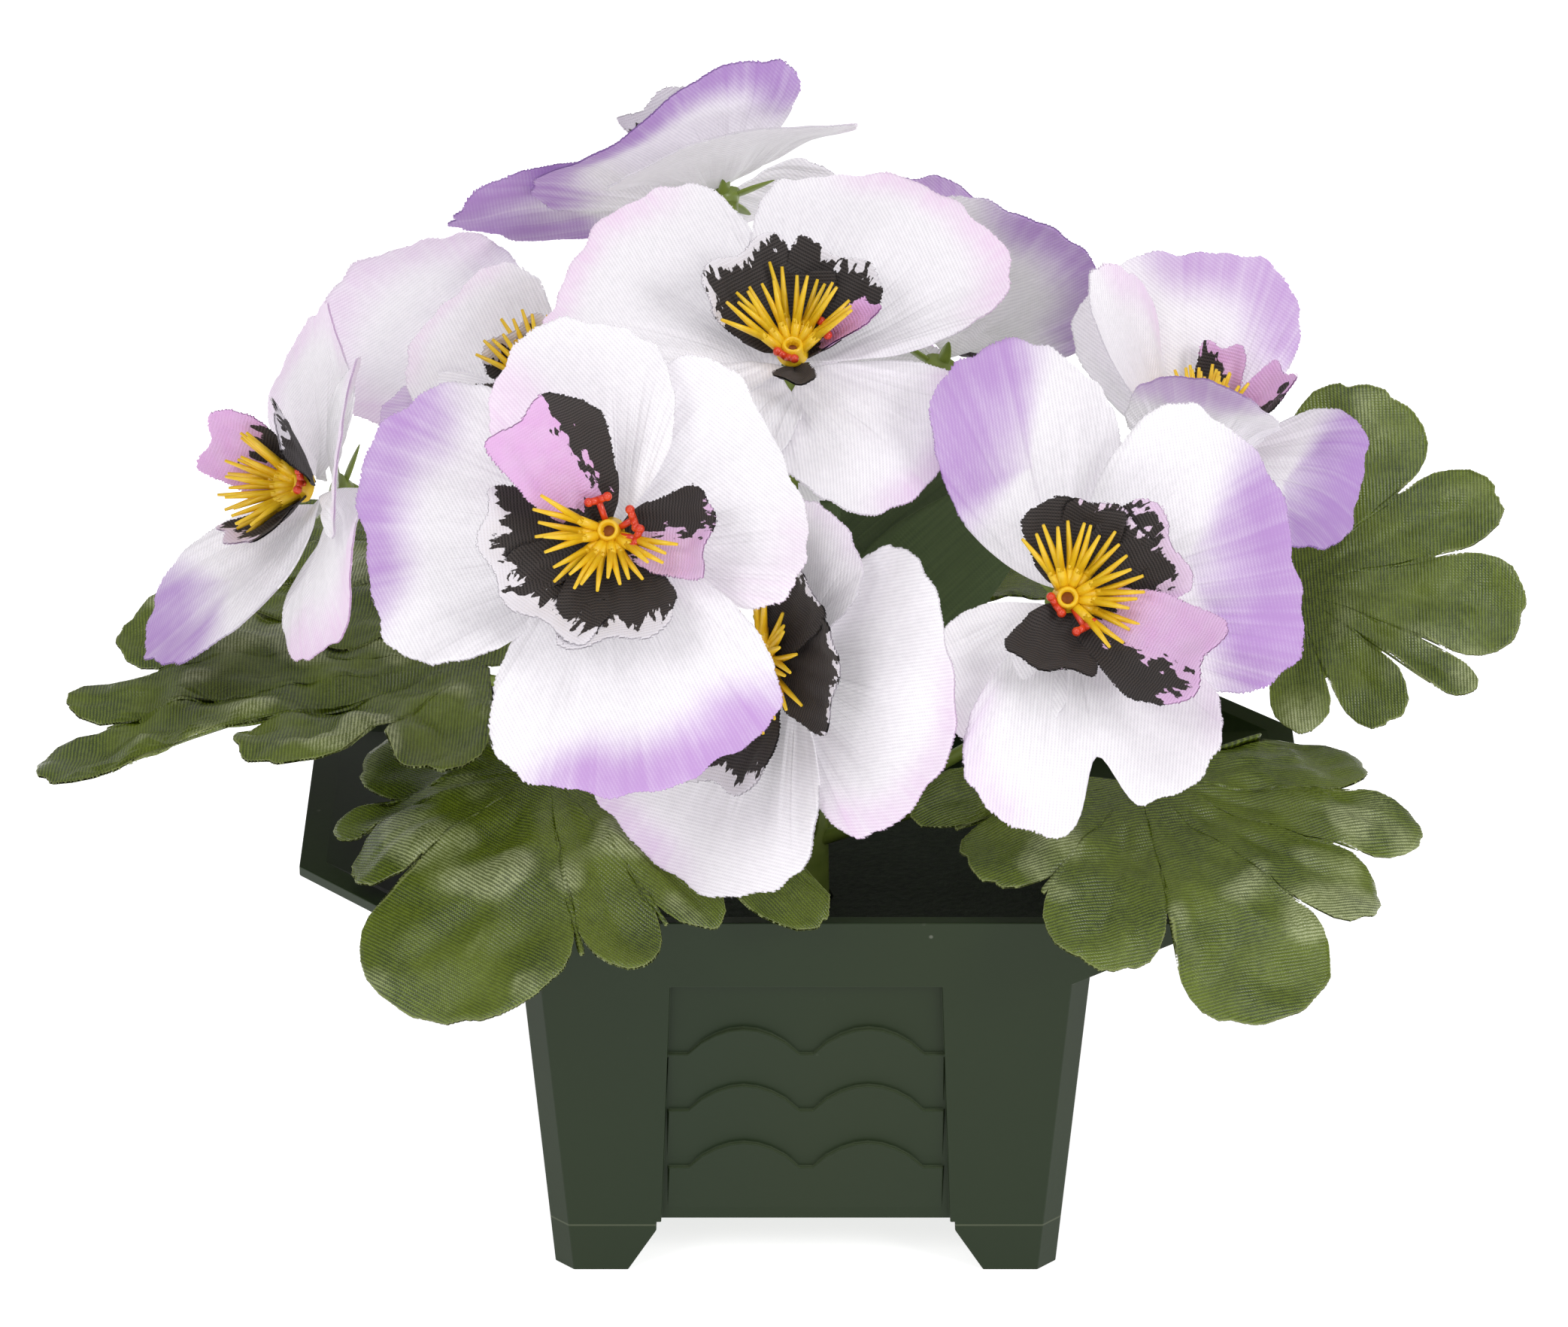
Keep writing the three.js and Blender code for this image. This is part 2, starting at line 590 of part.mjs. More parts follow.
// The origin is on the floor, under the middle of the whole as seen from above.
const MIDDLE = [-3.6, 6.9]; // from the planter's own axis
const bush = new THREE.Group();
bush.position.set(-MIDDLE[0], -MIDDLE[1], 0);
bush.add(piece('planter', geometryOf(planter()), MATERIALS.planter));
bush.add(piece('foam_block', geometryOf(foamBlock()), MATERIALS.foam));
bush.add(piece('stems', geometryOf(stems()), MATERIALS.stems));

for (const [name, bloom] of Object.entries(BLOOMS)) {
  const head = placed(new THREE.Group(), bloomBasis(bloom));
  head.add(piece(`petals_${name}`, geometryOf(corolla(bloom)), MATERIALS.petals));
  head.add(piece(`throat_${name}`, geometryOf(throat(bloom)), MATERIALS.throat));
  head.add(piece(`stamens_${name}`, geometryOf(stamens(bloom)), MATERIALS.stamens));
  bush.add(head);
}

for (const [name, leaf] of Object.entries(LEAVES)) {
  bush.add(placed(piece(`leaf_${name}`, leafSheet(leaf), MATERIALS.leaf), leafBasis(leaf)));
}

for (const [name, strap] of Object.entries(STRAPS)) {
  bush.add(placed(piece(`strap_leaf_${name}`, strapSheet(strap), MATERIALS.leaf), leafBasis(strap)));
}

export default bush;
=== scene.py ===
# %% [markdown]
# # A potted pansy bush, dressed for the camera
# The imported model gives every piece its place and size. This lesson rounds the edges of the moulded planter,
# and swaps the plain sheets of the bush for thin woven cloth with creases, dye and frayed edges, which is
# what such an artificial plant is made of.

# %% Load the frame
import math

import bmesh
import bpy
from mathutils import Matrix, Vector, noise


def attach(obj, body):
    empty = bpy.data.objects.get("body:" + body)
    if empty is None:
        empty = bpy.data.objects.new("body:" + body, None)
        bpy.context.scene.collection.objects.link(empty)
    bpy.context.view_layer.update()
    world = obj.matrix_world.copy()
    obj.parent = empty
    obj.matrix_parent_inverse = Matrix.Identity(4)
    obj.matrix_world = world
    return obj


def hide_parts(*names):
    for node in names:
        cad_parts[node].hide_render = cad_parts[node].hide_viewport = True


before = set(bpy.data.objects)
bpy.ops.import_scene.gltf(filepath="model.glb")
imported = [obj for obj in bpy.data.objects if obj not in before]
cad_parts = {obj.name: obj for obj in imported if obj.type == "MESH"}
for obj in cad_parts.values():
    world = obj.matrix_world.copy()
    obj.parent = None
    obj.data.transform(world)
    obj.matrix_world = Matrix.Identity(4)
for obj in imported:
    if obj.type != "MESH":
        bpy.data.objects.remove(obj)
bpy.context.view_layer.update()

# %% [markdown]
# ## Camera
# The photograph looks down at the bush by 25 degrees from a little over a metre, through a long lens, so that
# near and far flowers keep almost the same size. The camera aims at the middle of the picture.

# %% Camera
MM = 0.001
AIM = Vector((-0.4, -6.9, 102)) * MM
DISTANCE = 1.34
LOOK_DOWN = math.radians(25)
LENS, FILM_WIDTH = 166.6, 36

eye = bpy.data.cameras.new("photo view")
eye.lens, eye.sensor_width = LENS, FILM_WIDTH
camera = bpy.data.objects.new("photo view", eye)
bpy.context.collection.objects.link(camera)
forward = Vector((0, math.cos(LOOK_DOWN), -math.sin(LOOK_DOWN)))
camera.location = AIM - forward * DISTANCE
camera.rotation_euler = forward.to_track_quat("-Z", "Y").to_euler()
bpy.context.scene.camera = camera
print("camera at", tuple(round(c, 4) for c in camera.location))

# %% [markdown]
# ## Arithmetic for shaders
# A shader is a network of small nodes, which is tiring to wire by hand. Here one class wraps a socket, so
# that `1 - mask` adds the Math node for it, and another holds a material and makes every other node.

# %% Shader helpers
class Field:
    """A number that varies over a surface; arithmetic on it adds Math nodes."""

    def __init__(self, finish, socket):
        self.finish, self.socket = finish, socket

    def math(self, operation, *values):
        return self.finish.node("ShaderNodeMath", {"operation": operation}, dict(enumerate(values)))

    def __add__(self, other):
        return self.math("ADD", self, other)

    def __radd__(self, other):
        return self.math("ADD", other, self)

    def __sub__(self, other):
        return self.math("SUBTRACT", self, other)

    def __rsub__(self, other):
        return self.math("SUBTRACT", other, self)

    def __mul__(self, other):
        return self.math("MULTIPLY", self, other)

    def __rmul__(self, other):
        return self.math("MULTIPLY", other, self)

    def __abs__(self):
        return self.math("ABSOLUTE", self)

    def sine(self):
        return self.math("SINE", self)


class Finish:
    """One material: its shader, and the nodes that feed it."""

    def __init__(self, name, **constants):
        self.material = bpy.data.materials.new(name)
        self.material.use_nodes = True
        self.tree = self.material.node_tree
        self.shader = self.tree.nodes["Principled BSDF"]
        for socket, value in constants.items():
            self.shader.inputs[socket.replace("_", " ")].default_value = value

    def node(self, kind, settings=(), inputs=(), output=0):
        made = self.tree.nodes.new(kind)
        for key, value in dict(settings).items():
            setattr(made, key, value)
        for key, value in dict(inputs).items():
            self.feed(made.inputs[key], value)
        return Field(self, made.outputs[output])

    def feed(self, socket, value):
        if isinstance(value, Field):
            self.tree.links.new(value.socket, socket)
        else:
            socket.default_value = value

    def wear(self, **inputs):
        for name, value in inputs.items():
            self.feed(self.shader.inputs[name.replace("_", " ")], value)
        return self.material

    def step(self, value, low, high):
        """0 below low, 1 above high, and smooth between."""
        return self.node("ShaderNodeMapRange", {"interpolation_type": "SMOOTHSTEP"},
                         {"Value": value, "From Min": low, "From Max": high})

    def blend(self, share, first, second):
        """Two colours mixed: a Mix node's colour sockets have the numbers 6, 7 and 2."""
        return self.node("ShaderNodeMix", {"data_type": "RGBA"}, {0: share, 6: first, 7: second}, 2)

    def fact(self, name):
        """A number that the mesh carries at each of its points."""
        return self.node("ShaderNodeAttribute", {"attribute_name": name}, output="Fac")

    def place(self, kind="Object"):
        return self.node("ShaderNodeTexCoord", output=kind)

    def part(self, vector, axis):
        """One of the three numbers of a vector."""
        return self.node("ShaderNodeSeparateXYZ", {}, {0: vector}, axis)

    def grain(self, scale, place=None, detail=3.0, stretch=(1, 1, 1)):
        """Noise round 0.5: scale is its grains to a metre of the object, or to a millimetre of flat cloth."""
        place = self.node("ShaderNodeMapping", {}, {"Vector": place or self.place(), "Scale": stretch})
        return self.node("ShaderNodeTexNoise", {}, {"Vector": place, "Scale": scale, "Detail": detail})

    def bump(self, height, distance, strength=1.0):
        return self.node("ShaderNodeBump", {}, {"Height": height, "Distance": distance, "Strength": strength})


def dye(red, green, blue):
    """A colour from its sRGB numbers, 0 to 255."""
    shares = [number / 255 for number in (red, green, blue)]
    return tuple(s / 12.92 if s < 0.04045 else ((s + 0.055) / 1.055) ** 2.4 for s in shares) + (1.0,)


print("helpers ready: Field and Finish")

# %% [markdown]
# ## Floor and light
# A product photograph like this one is lit by large soft boxes on a white table that is lit from below as
# well, so hardly a shadow falls on it. Two boxes stand in front, left and right, a third hangs overhead, and
# a pale surround fills the shadows.

# %% Floor and lights
TABLE_HALF_WIDTH, TABLE_GLOW = 4.0, 0.75
SURROUND_COLOUR, SURROUND_STRENGTH = (1.0, 0.98, 1.0, 1.0), 0.45

floor_finish = Finish("pale table", Roughness=0.85, Emission_Color=(1, 1, 1, 1), Emission_Strength=TABLE_GLOW)
floor_colour = floor_finish.blend(floor_finish.grain(3.0), dye(243, 243, 244), dye(247, 247, 247))
floor_finish.wear(Base_Color=floor_colour)
sheet = bmesh.new()
bmesh.ops.create_grid(sheet, x_segments=2, y_segments=2, size=TABLE_HALF_WIDTH)
floor_mesh = bpy.data.meshes.new("table")
sheet.to_mesh(floor_mesh)
sheet.free()
floor = bpy.data.objects.new("table", floor_mesh)
floor_mesh.materials.append(floor_finish.material)
bpy.context.collection.objects.link(floor)


def soft_box(name, place, size, watts):
    """A square lamp, in metres, that shines at the point the camera aims at."""
    lamp = bpy.data.lights.new(name, "AREA")
    lamp.shape, lamp.size, lamp.energy = "SQUARE", size, watts
    box = bpy.data.objects.new(name, lamp)
    box.location = place
    box.rotation_euler = (AIM - Vector(place)).to_track_quat("-Z", "Y").to_euler()
    bpy.context.collection.objects.link(box)


soft_box("left soft box", (-1.1, -1.4, 1.5), 0.8, 10)
soft_box("right soft box", (1.4, -1.2, 1.2), 0.7, 12)
soft_box("overhead soft box", (0.1, -0.4, 1.8), 0.9, 5)
surround = bpy.data.worlds.new("pale surround")
surround.use_nodes = True
background = surround.node_tree.nodes["Background"]
background.inputs["Color"].default_value = SURROUND_COLOUR
background.inputs["Strength"].default_value = SURROUND_STRENGTH
bpy.context.scene.world = surround
bpy.context.scene.view_settings.view_transform = "Standard"

# %% [markdown]
# ## Planter
# The planter is one moulding of dark green plastic. The imported model has its shape with sharp edges, and a
# real moulding has them slightly rounded, so a merged copy with a small Bevel takes its place. Its finish is
# a dull satin skin, slightly cloudy from the mould, with a fine parting line above the feet and dust in pale
# specks. The scallops' upper edges get a painted highlight: the shader finds them as faces that look upwards
# below the top of the sunk panels, and paints them paler, as light would fall on them.

# %% Planter finish
PARTING_HEIGHT, PARTING_CORE, PARTING_SIDE = 9.9 * MM, 0.08 * MM, 0.28 * MM
PANEL_TOP, PANEL_FADE = 54 * MM, 4 * MM
DARK_SKIN, LIGHT_SKIN, LEDGE_HIGHLIGHT_SKIN = dye(12, 34, 6), dye(32, 44, 14), dye(94, 106, 80)
PARTING_COLOUR, DUST_COLOUR = dye(92, 98, 76), dye(140, 142, 130)

plastic = Finish("green plastic", Specular_IOR_Level=0.3)
place = plastic.place()
height_above, facing_up = plastic.part(place, 2), plastic.part(plastic.place("Normal"), 2)
cloud = plastic.grain(16.0, place, 4.0, (1, 1, 0.35))
patch = plastic.grain(80.0, place, 2.0)
rough = plastic.grain(900.0, place, 2.0)
speck = plastic.node("ShaderNodeTexVoronoi", {}, {"Vector": place, "Scale": 110.0, "Randomness": 1.0})
dust = (1 - plastic.step(speck, 0.025, 0.06)) * plastic.step(patch, 0.5, 0.62)
parting = 1 - plastic.step(abs(height_above - PARTING_HEIGHT), PARTING_CORE, PARTING_SIDE)
on_panel = 1 - plastic.step(height_above, PANEL_TOP, PANEL_TOP + PANEL_FADE)
# Painted highlight: faces on the panels that look upwards are coloured paler, as if lit from above.
painted_ledge_light = plastic.step(facing_up, 0.15, 0.7) * on_panel
skin = plastic.blend(cloud, DARK_SKIN, LIGHT_SKIN)
skin = plastic.blend(painted_ledge_light * 0.45, skin, LEDGE_HIGHLIGHT_SKIN)
skin = plastic.blend(parting * 0.5, skin, PARTING_COLOUR)
skin = plastic.blend(dust * 0.55, skin, DUST_COLOUR)
plastic.wear(
    Base_Color=skin,
    Roughness=0.42 + cloud * 0.16,
    Normal=plastic.bump(patch * 0.5 + rough * 0.4, 0.12 * MM, 0.3),
)
print("planter finish:", plastic.material.name)


# %% Planter
WELD, FLAT_WITHIN, SHARP_FROM = 0.002 * MM, math.radians(0.6), math.radians(24)
EDGE_WIDTH = 0.4 * MM


def make_piece(name, bm, materials):
    """A piece at the origin, from a bmesh in metres, that moves with the only body."""
    mesh = bpy.data.meshes.new(name)
    bm.to_mesh(mesh)
    bm.free()
    for material in materials:
        mesh.materials.append(material)
    piece = bpy.data.objects.new(name, mesh)
    bpy.context.collection.objects.link(piece)
    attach(piece, "root")
    return piece


def softened(node, name, material):
    """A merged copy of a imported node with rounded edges."""
    bm = bmesh.new()
    bm.from_mesh(bpy.data.objects[node].data)
    bmesh.ops.remove_doubles(bm, verts=bm.verts, dist=WELD)
    bmesh.ops.dissolve_limit(bm, angle_limit=FLAT_WITHIN, verts=bm.verts, edges=bm.edges)
    piece = make_piece(name, bm, [material])
    edges = piece.modifiers.new("rounded edges", "BEVEL")
    edges.width, edges.segments, edges.profile, edges.material = EDGE_WIDTH, 2, 0.5, -1
    edges.limit_method, edges.angle_limit = "ANGLE", SHARP_FROM
    return piece


planter = softened("planter", "planter_moulding", plastic.material)
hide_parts("planter")
print("planter faces:", len(planter.data.polygons))

# %% [markdown]
# ## Foam
# The bush is pushed into a block of dry green foam, open-pored and quite dark down in the planter. It hardly
# shows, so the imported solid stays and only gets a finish: one noise draws both its pores and their colour.

# %% Foam finish
foam = Finish("dry foam", Roughness=0.95)
pores = foam.grain(700.0, detail=5.0)
foam.wear(Base_Color=foam.blend(pores, dye(14, 18, 12), dye(40, 50, 34)), Normal=foam.bump(pores, 0.8 * MM))
foam_slots = bpy.data.objects["foam_block"].material_slots
for slot in foam_slots:
    slot.material = foam.material
print("foam slots dressed:", len(foam_slots))

# %% [markdown]
# ## Where blooms and leaves stand
# Sizes are in millimetres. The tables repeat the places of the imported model, round the planter's own axis,
# and one shift puts them in its frame. A bloom is described as on a clock face that looks along its axis, and
# a leaf along its midrib.

# %% Directions
SHIFT = Vector((3.6, -6.9, 0))
ABOVE = Vector((0, math.sin(LOOK_DOWN), math.cos(LOOK_DOWN)))


def heading(right, up):
    """A direction, by its turn to the right of straight ahead and by its rise, in degrees."""
    right, up = math.radians(right), math.radians(up)
    return Vector((math.sin(right) * math.cos(up), -math.cos(right) * math.cos(up), math.sin(up)))


def standing(along_x, along_y, along_z, place):
    """The matrix that stands a piece's own frame at a place on the planter."""
    turned = Matrix((along_x, along_y, along_z)).transposed().to_4x4()
    return Matrix.Translation(Vector(place) + SHIFT) @ turned


def bloom_stand(bloom):
    axis = heading(*bloom["face"])
    twelve = (ABOVE - axis * ABOVE.dot(axis)).normalized()
    return standing(twelve.cross(axis), twelve, axis, bloom["hub"])


def leaf_stand(base, run):
    run = heading(*run)
    upper = (Vector((0, 0, 1)) - run * run.z).normalized()
    return standing(run.cross(upper), run, upper, base)


print("a bloom facing the camera looks along", tuple(round(c, 2) for c in heading(0, 25)))

# %% [markdown]
# ## Bending cloth
# Pressed silk flowers are cut flat and then bent over a heated form. So every petal and leaf is drawn flat
# and then bent into an arc along it and another across it, which never stretches it much.

# %% Bending
ALMOST_FLAT = 1e-3


def bend(x, y, length, width, lift=0.0, bow=0.0, cup=0.0, roll=0.0):
    """Where a point of the flat cloth goes: x across, y along, angles in degrees."""
    lift, roll = math.radians(lift), math.radians(roll)
    bow_rate = math.radians(bow or ALMOST_FLAT) / length
    cup_rate = math.radians(cup or ALMOST_FLAT) / (width / 2)
    angle = lift + bow_rate * y
    along = (math.sin(angle) - math.sin(lift)) / bow_rate
    up = (math.cos(lift) - math.cos(angle)) / bow_rate
    flat_across = math.sin(cup_rate * x) / cup_rate
    flat_rise = (1 - math.cos(cup_rate * x)) / cup_rate
    across = flat_across * math.cos(roll) + flat_rise * math.sin(roll)
    rise = flat_rise * math.cos(roll) - flat_across * math.sin(roll)
    return Vector((across, along - rise * math.sin(angle), up + rise * math.cos(angle)))


print("a 40 mm petal bowed by 30 degrees ends at", tuple(round(c, 1) for c in bend(0, 40, 40, 40, bow=30)))

# %% [markdown]
# ## A maker of cloth pieces
# Each cloth starts as a flat grid. A rule moves its points and says what each of them carries: its place on
# the flat cloth, for the weave, and up to five facts for dye and fray: the rim is its distance from the cut
# edge, and each rule says what it makes of the others. Relief is added afterwards along the surface's own
# normals, and a Solidify modifier gives the cloth its thickness.

# %% Cloth maker
FACTS = ("rim", "blush", "tone", "ink", "lift")
THICKNESS = {"petals": 0.35, "throat": 0.3, "leaves": 0.4}
flat_area = {}


def smooth_piece(name, bm, materials):
    """A piece with smooth shading, from a bmesh in millimetres."""
    bmesh.ops.transform(bm, matrix=Matrix.Scale(MM, 4), verts=bm.verts)
    piece = make_piece(name, bm, materials)
    piece.data.shade_smooth()
    return piece


def polygon_area(corners):
    """The area inside a ring of flat points."""
    pairs = zip(corners, corners[1:] + corners[:1])
    return abs(sum(a[0] * b[1] - a[1] * b[0] for a, b in pairs)) / 2


class Cloth:
    """Grids of cloth that end up as one piece."""

    def __init__(self, name):
        self.name, self.area = name, 0.0
        self.bm = bmesh.new()
        self.uv = self.bm.loops.layers.uv.new("cloth")
        self.facts = {fact: self.bm.verts.layers.float.new(fact) for fact in FACTS}

    def add(self, columns, rows, rule, stand):
        """rule(u, v), both -1 to 1, gives the bent point, the flat point, the relief and the facts."""
        made = bmesh.ops.create_grid(self.bm, x_segments=columns, y_segments=rows, size=1.0)["verts"]
        flat, relief = {}, {}
        for vert in made:
            point, flat[vert], relief[vert], carried = rule(vert.co.x, vert.co.y)
            vert.co = stand @ point
            for fact, value in carried.items():
                vert[self.facts[fact]] = value
        faces = {face for vert in made for face in vert.link_faces}
        for face in faces:
            corners = [flat[loop.vert] for loop in face.loops]
            for loop, corner in zip(face.loops, corners):
                loop[self.uv].uv = corner
            self.area += polygon_area(corners)
        for face in faces:
            face.normal_update()
        for vert in made:
            vert.normal_update()
        for vert, height in relief.items():
            vert.co += vert.normal * height

    def finish(self, node, slot, material):
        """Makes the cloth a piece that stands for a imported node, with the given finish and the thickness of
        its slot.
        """
        piece = smooth_piece(self.name, self.bm, [material])
        body = piece.modifiers.new("thickness", "SOLIDIFY")
        body.thickness, body.offset = THICKNESS[slot] * MM, 0.0
        flat_area[self.name] = self.area * MM * MM
        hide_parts(node)


def smooth(value):
    """0 at 0 and below, 1 at 1 and above, and smooth between."""
    value = min(max(value, 0.0), 1.0)
    return value * value * (3 - 2 * value)


def ripple(degrees):
    return math.sin(math.radians(degrees))


print("cloth maker ready, for cloth of", sorted(THICKNESS.values()), "mm")

# %% [markdown]
# ## Petals
# A petal is narrow at the hub and broad past its middle. It is pressed with fan-like creases that start at
# the throat, its rim ruffles, and the purple is sprayed on from the rim inwards, so it fades towards the
# middle. A spray is given as the part of the rim it covers, in degrees from the petal's tip, how deep it
# reaches, how strong it is, and its tone from pinkish lilac, 0, to purple, 1.
#
# The outline comes from a disc, drawn narrower towards the hub, so one grid gives every petal an even mesh.
# For the shader, blush is the dye's strength, ink the direction of the fan and lift the share of the petal's
# length.

# %% Petal outline
PETAL_START = 2.2
NOTCH_HALF_WIDTH = 0.14
BASE_RIM = 12


def on_petal(u, v, row, start, square=0.0, breadth=1.14, narrowing=0.27):
    """The flat point of a petal, its share of the length, and its reach and angle on the disc.

    square, 0 to 1, leaves the corners in place of a round end; breadth and narrowing shape the base."""
    length, width = row[2], row[3]
    notch = row[7] if len(row) > 7 else 0
    disc_x = u * math.sqrt(1 - (1 - square) * v * v / 2)
    disc_y = v * math.sqrt(1 - (1 - square) * u * u / 2)
    share = max((disc_y + 1) / 2, 0)
    dip = notch * share ** 3 * math.exp(-((disc_x / NOTCH_HALF_WIDTH) ** 2))
    x = width / 2 * disc_x * breadth * share ** narrowing
    y = (length - start) * (share - dip)
    reach = math.hypot(u * math.sqrt(1 - v * v / 2), v * math.sqrt(1 - u * u / 2))
    return x, y, share, min(reach, 1.0), math.degrees(math.atan2(disc_x, disc_y))


def on_clock(point, turn):
    """A point of a piece drawn towards twelve o'clock, when the piece is turned clockwise."""
    spin = math.radians(turn)
    return Vector((point.x * math.cos(spin) + point.y * math.sin(spin),
                   point.y * math.cos(spin) - point.x * math.sin(spin), point.z))


print("a petal starts", PETAL_START, "mm from the middle of its bloom")

# %% Petal rule
LAYERS = (-0.6, 0.4, -0.2, 0.3)
RIPPLES = ((0.028, 2.4, 60), (0.016, 5.7, 90), (0.009, 13, 50), (0.006, 22, 30))
SPRAY_EDGE = 22
CREASE_DEPTH, RUFFLE_DEPTH, SOFT_DEPTH = 0.34, 1.5, 2.0


def sprayed(sprays, reach, angle, size):
    """How much dye a point has got, and its tone."""
    blush, tone = 0.0, 0.0
    for begin, end, depth, strength, hue in sprays:
        middle, half = (begin + end) / 2, (end - begin) / 2
        window = smooth((half + SPRAY_EDGE - abs(angle - middle)) / (2 * SPRAY_EDGE))
        amount = strength * window * smooth(1.15 - (1 - reach) * size / depth)
        tone = (tone * blush + hue * amount) / (blush + amount + 1e-6)
        blush = 1 - (1 - blush) * (1 - amount)
    return blush, tone


def petal_rule(row, start, height, sprays, seed):
    turn, lift, length, width, bow, cup = row[:6]
    roll = row[6] if len(row) > 6 else 0
    grain = math.radians(35 + seed * 50)
    across, along = math.cos(grain), math.sin(grain)

    def rule(u, v):
        x, y, share, reach, angle = on_petal(u, v, row, start)
        wavy = sum(size * ripple(angle * rate + seed * shift) for size, rate, shift in RIPPLES)
        wavy *= reach ** 3 * smooth(share / 0.3)
        x, y = x * (1 + wavy), y * (1 + wavy)
        point = bend(x, y, length, width, lift, bow, cup, roll) + Vector((0, start, height))
        fan = math.degrees(math.atan2(x, y + 7))
        wander = 5 * noise.noise(Vector((x * 0.05, y * 0.05, seed + 7)))
        crease = ripple((fan + wander) * 16 + seed * 40) + 0.55 * ripple((fan - wander) * 37 + seed * 90)
        crease *= CREASE_DEPTH * smooth(share / 0.2) * smooth((0.95 - share) / 0.55)
        ruffle = RUFFLE_DEPTH * smooth((reach - 0.4) / 0.6) * ripple(angle * 2.7 + seed * 77)
        soft = SOFT_DEPTH * noise.noise(Vector((x * 0.055, y * 0.055, seed + 3))) * smooth(share / 0.4)
        blush, tone = sprayed(sprays, reach, angle, width / 2)
        flat = (x * across + y * along, y * across - x * along + seed * 90)
        rim = (1 - reach) * min(width, length) / 2 + BASE_RIM * smooth((0.35 - share) / 0.2)
        facts = {"rim": rim, "blush": blush, "tone": tone, "ink": fan, "lift": share}
        return on_clock(point, turn), flat, crease + ruffle + soft, facts

    return rule


print("petal rule ready; the first petal of a bloom starts", LAYERS[0], "mm below its hub's middle")
